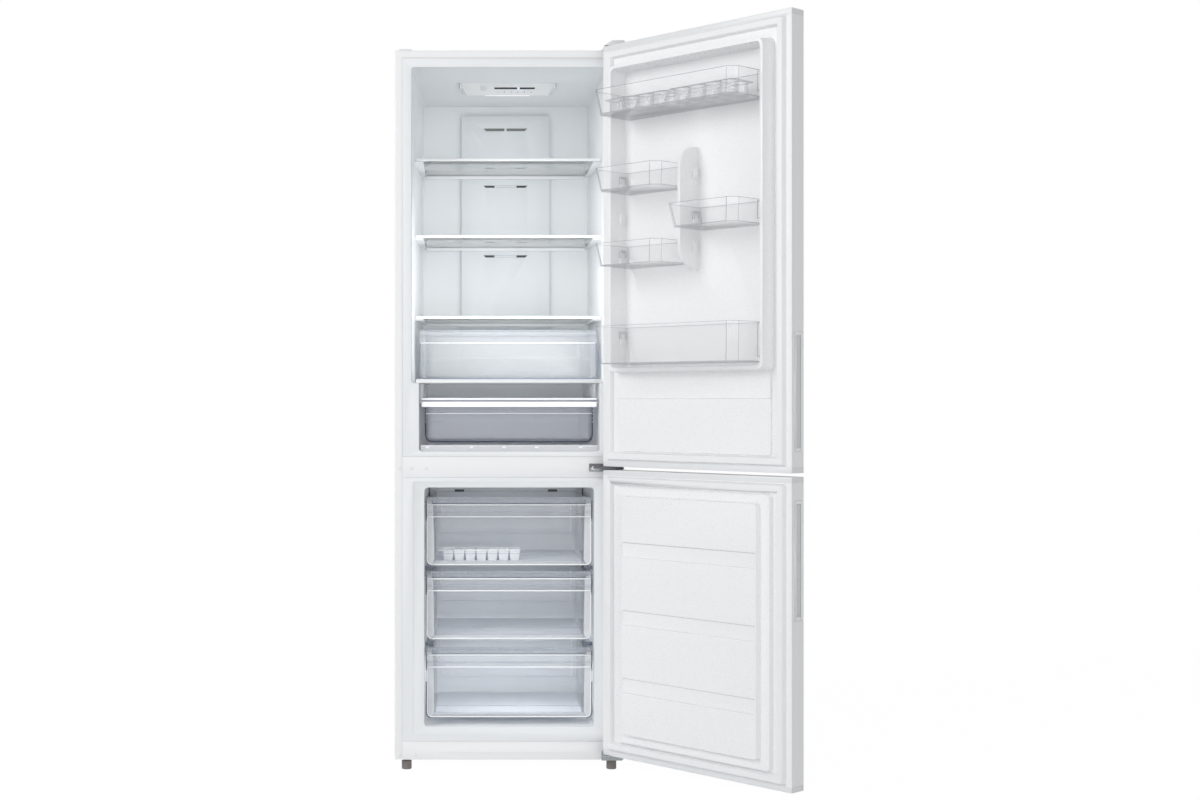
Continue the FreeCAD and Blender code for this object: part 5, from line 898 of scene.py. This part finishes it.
def dress_door(door):
    """A door's skin, foam, liner, end caps, gasket and grip."""
    paint(nodes[door + "_skin"].data, SIDE_PAINT)
    paint(nodes[door + "_foam"].data, FOAM)
    rounded(door + "_liner", DOOR_LINER, 2.0, 3)
    rounded(door + "_end_caps", CAP, 0.6)
    rounded(door + "_gasket", GASKET, 2.0, 3)
    rounded(door + "_grip", GRIP, 0.8)


def freezer_door_groove(i, level):
    """A groove of the freezer door's moulding: painted shade at its upper edge, a painted highlight
    at its lower.
    """
    ends, width = (90, 505), 35.6
    wires(f"freezer_door_crease_{i}", [[door_point(u, 22.9, level + width) for u in ends]],
          0.7, SHADE_IN_CREASES, "freezer_door")
    wires(f"freezer_door_ridge_highlight_{i}", [[door_point(u, 24.8, level) for u in ends]],
          0.7, PAINTED_HIGHLIGHT, "freezer_door")


def bin_post(name):
    """Painted shade outlining the narrow post at a bin's far end, against the door."""
    local = [DOOR.inverted() @ vert.co / MM for vert in nodes[name].data.vertices]
    reach = max(point.y for point in local)
    far = max(-point.x for point in local if point.y > reach - 21) - 4.5
    head = max(point.z for point in local) - 3
    foot = min(point.z for point in local) + 12
    near, deep = 10, 30
    wires(name + "_post", [[door_point(far, near, foot), door_point(far, deep, foot),
                            door_point(far, deep, head), door_point(far, near, head)]],
          0.6, BIN_EDGE_SHADE, body_of(name), closed=True)


def grip_lines(label, foot, head):
    """A painted highlight along a grip's rim and, inside it, painted shade in the crease of its
    hollow.
    """
    edge, front, back = 594.6, -36, -11
    for line, inset, radius, mat in (("rim", 0, 1.1, PAINTED_HIGHLIGHT), ("crease", 3, 0.5, SHADE_IN_CREASES)):
        wires(f"{label}_grip_{line}",
              [[door_point(edge, p, z) for p, z in
                ((back - inset, foot + inset), (front + inset, foot + inset),
                 (front + inset, head - inset), (back - inset, head - inset))]],
              radius, mat, label + "_door", closed=True)


dress_door("fridge_door")
dress_door("freezer_door")
for i, level in enumerate((223, 394.5, 566)):
    freezer_door_groove(i, level)
for name in ("bin_top", "bin_left_upper", "bin_right", "bin_left_lower", "bin_bottom"):
    rounded(name, BIN, 0.6)
    # Dark bars along each bin's edges and round its post: painted shade.
    edge_wires(name, BIN_EDGE_SHADE, 0.4, 25)
    bin_post(name)
grip_lines("fridge", 841, 1121)
grip_lines("freezer", 447, 727)
rounded("egg_trays", EGG, 0.4)
# Dark bars along the egg cups' rims: painted shade.
edge_wires("egg_trays", EGG_EDGE_SHADE, 0.3, 60)

# ---------------------------------------------------------------- floor


def floor_material():
    """Plain paint that glows to the rays that see it, so that the floor meets the background."""
    mat = finish("studio_floor", (0.86, 0.87, 0.88), 0.6)
    tree = mat.node_tree
    glow = tree.nodes.new("ShaderNodeEmission")
    glow.inputs["Color"].default_value = (1, 1, 1, 1)
    glow.inputs["Strength"].default_value = 1.07
    blend = tree.nodes.new("ShaderNodeMixShader")
    share = tree.nodes.new("ShaderNodeMath")
    share.operation = "MULTIPLY"
    share.inputs[1].default_value = 0.89
    tree.links.new(seen_rays(tree), share.inputs[0])
    tree.links.new(share.outputs[0], blend.inputs["Fac"])
    tree.links.new(shader_of(mat).outputs[0], blend.inputs[1])
    tree.links.new(glow.outputs[0], blend.inputs[2])
    tree.links.new(blend.outputs[0], tree.nodes["Material Output"].inputs["Surface"])
    return mat


def studio_floor():
    """A wide floor for the shadow, staged so that it is no piece of the part."""
    bm = bmesh.new()
    bmesh.ops.create_grid(bm, x_segments=1, y_segments=1, size=14,
                          matrix=Matrix.Translation((0, 3, 0)))
    mesh = bpy.data.meshes.new("floor")
    bm.to_mesh(mesh)
    bm.free()
    mesh.materials.append(floor_material())
    floor = bpy.data.objects.new("floor", mesh)
    bpy.context.scene.collection.objects.link(floor)


studio_floor()
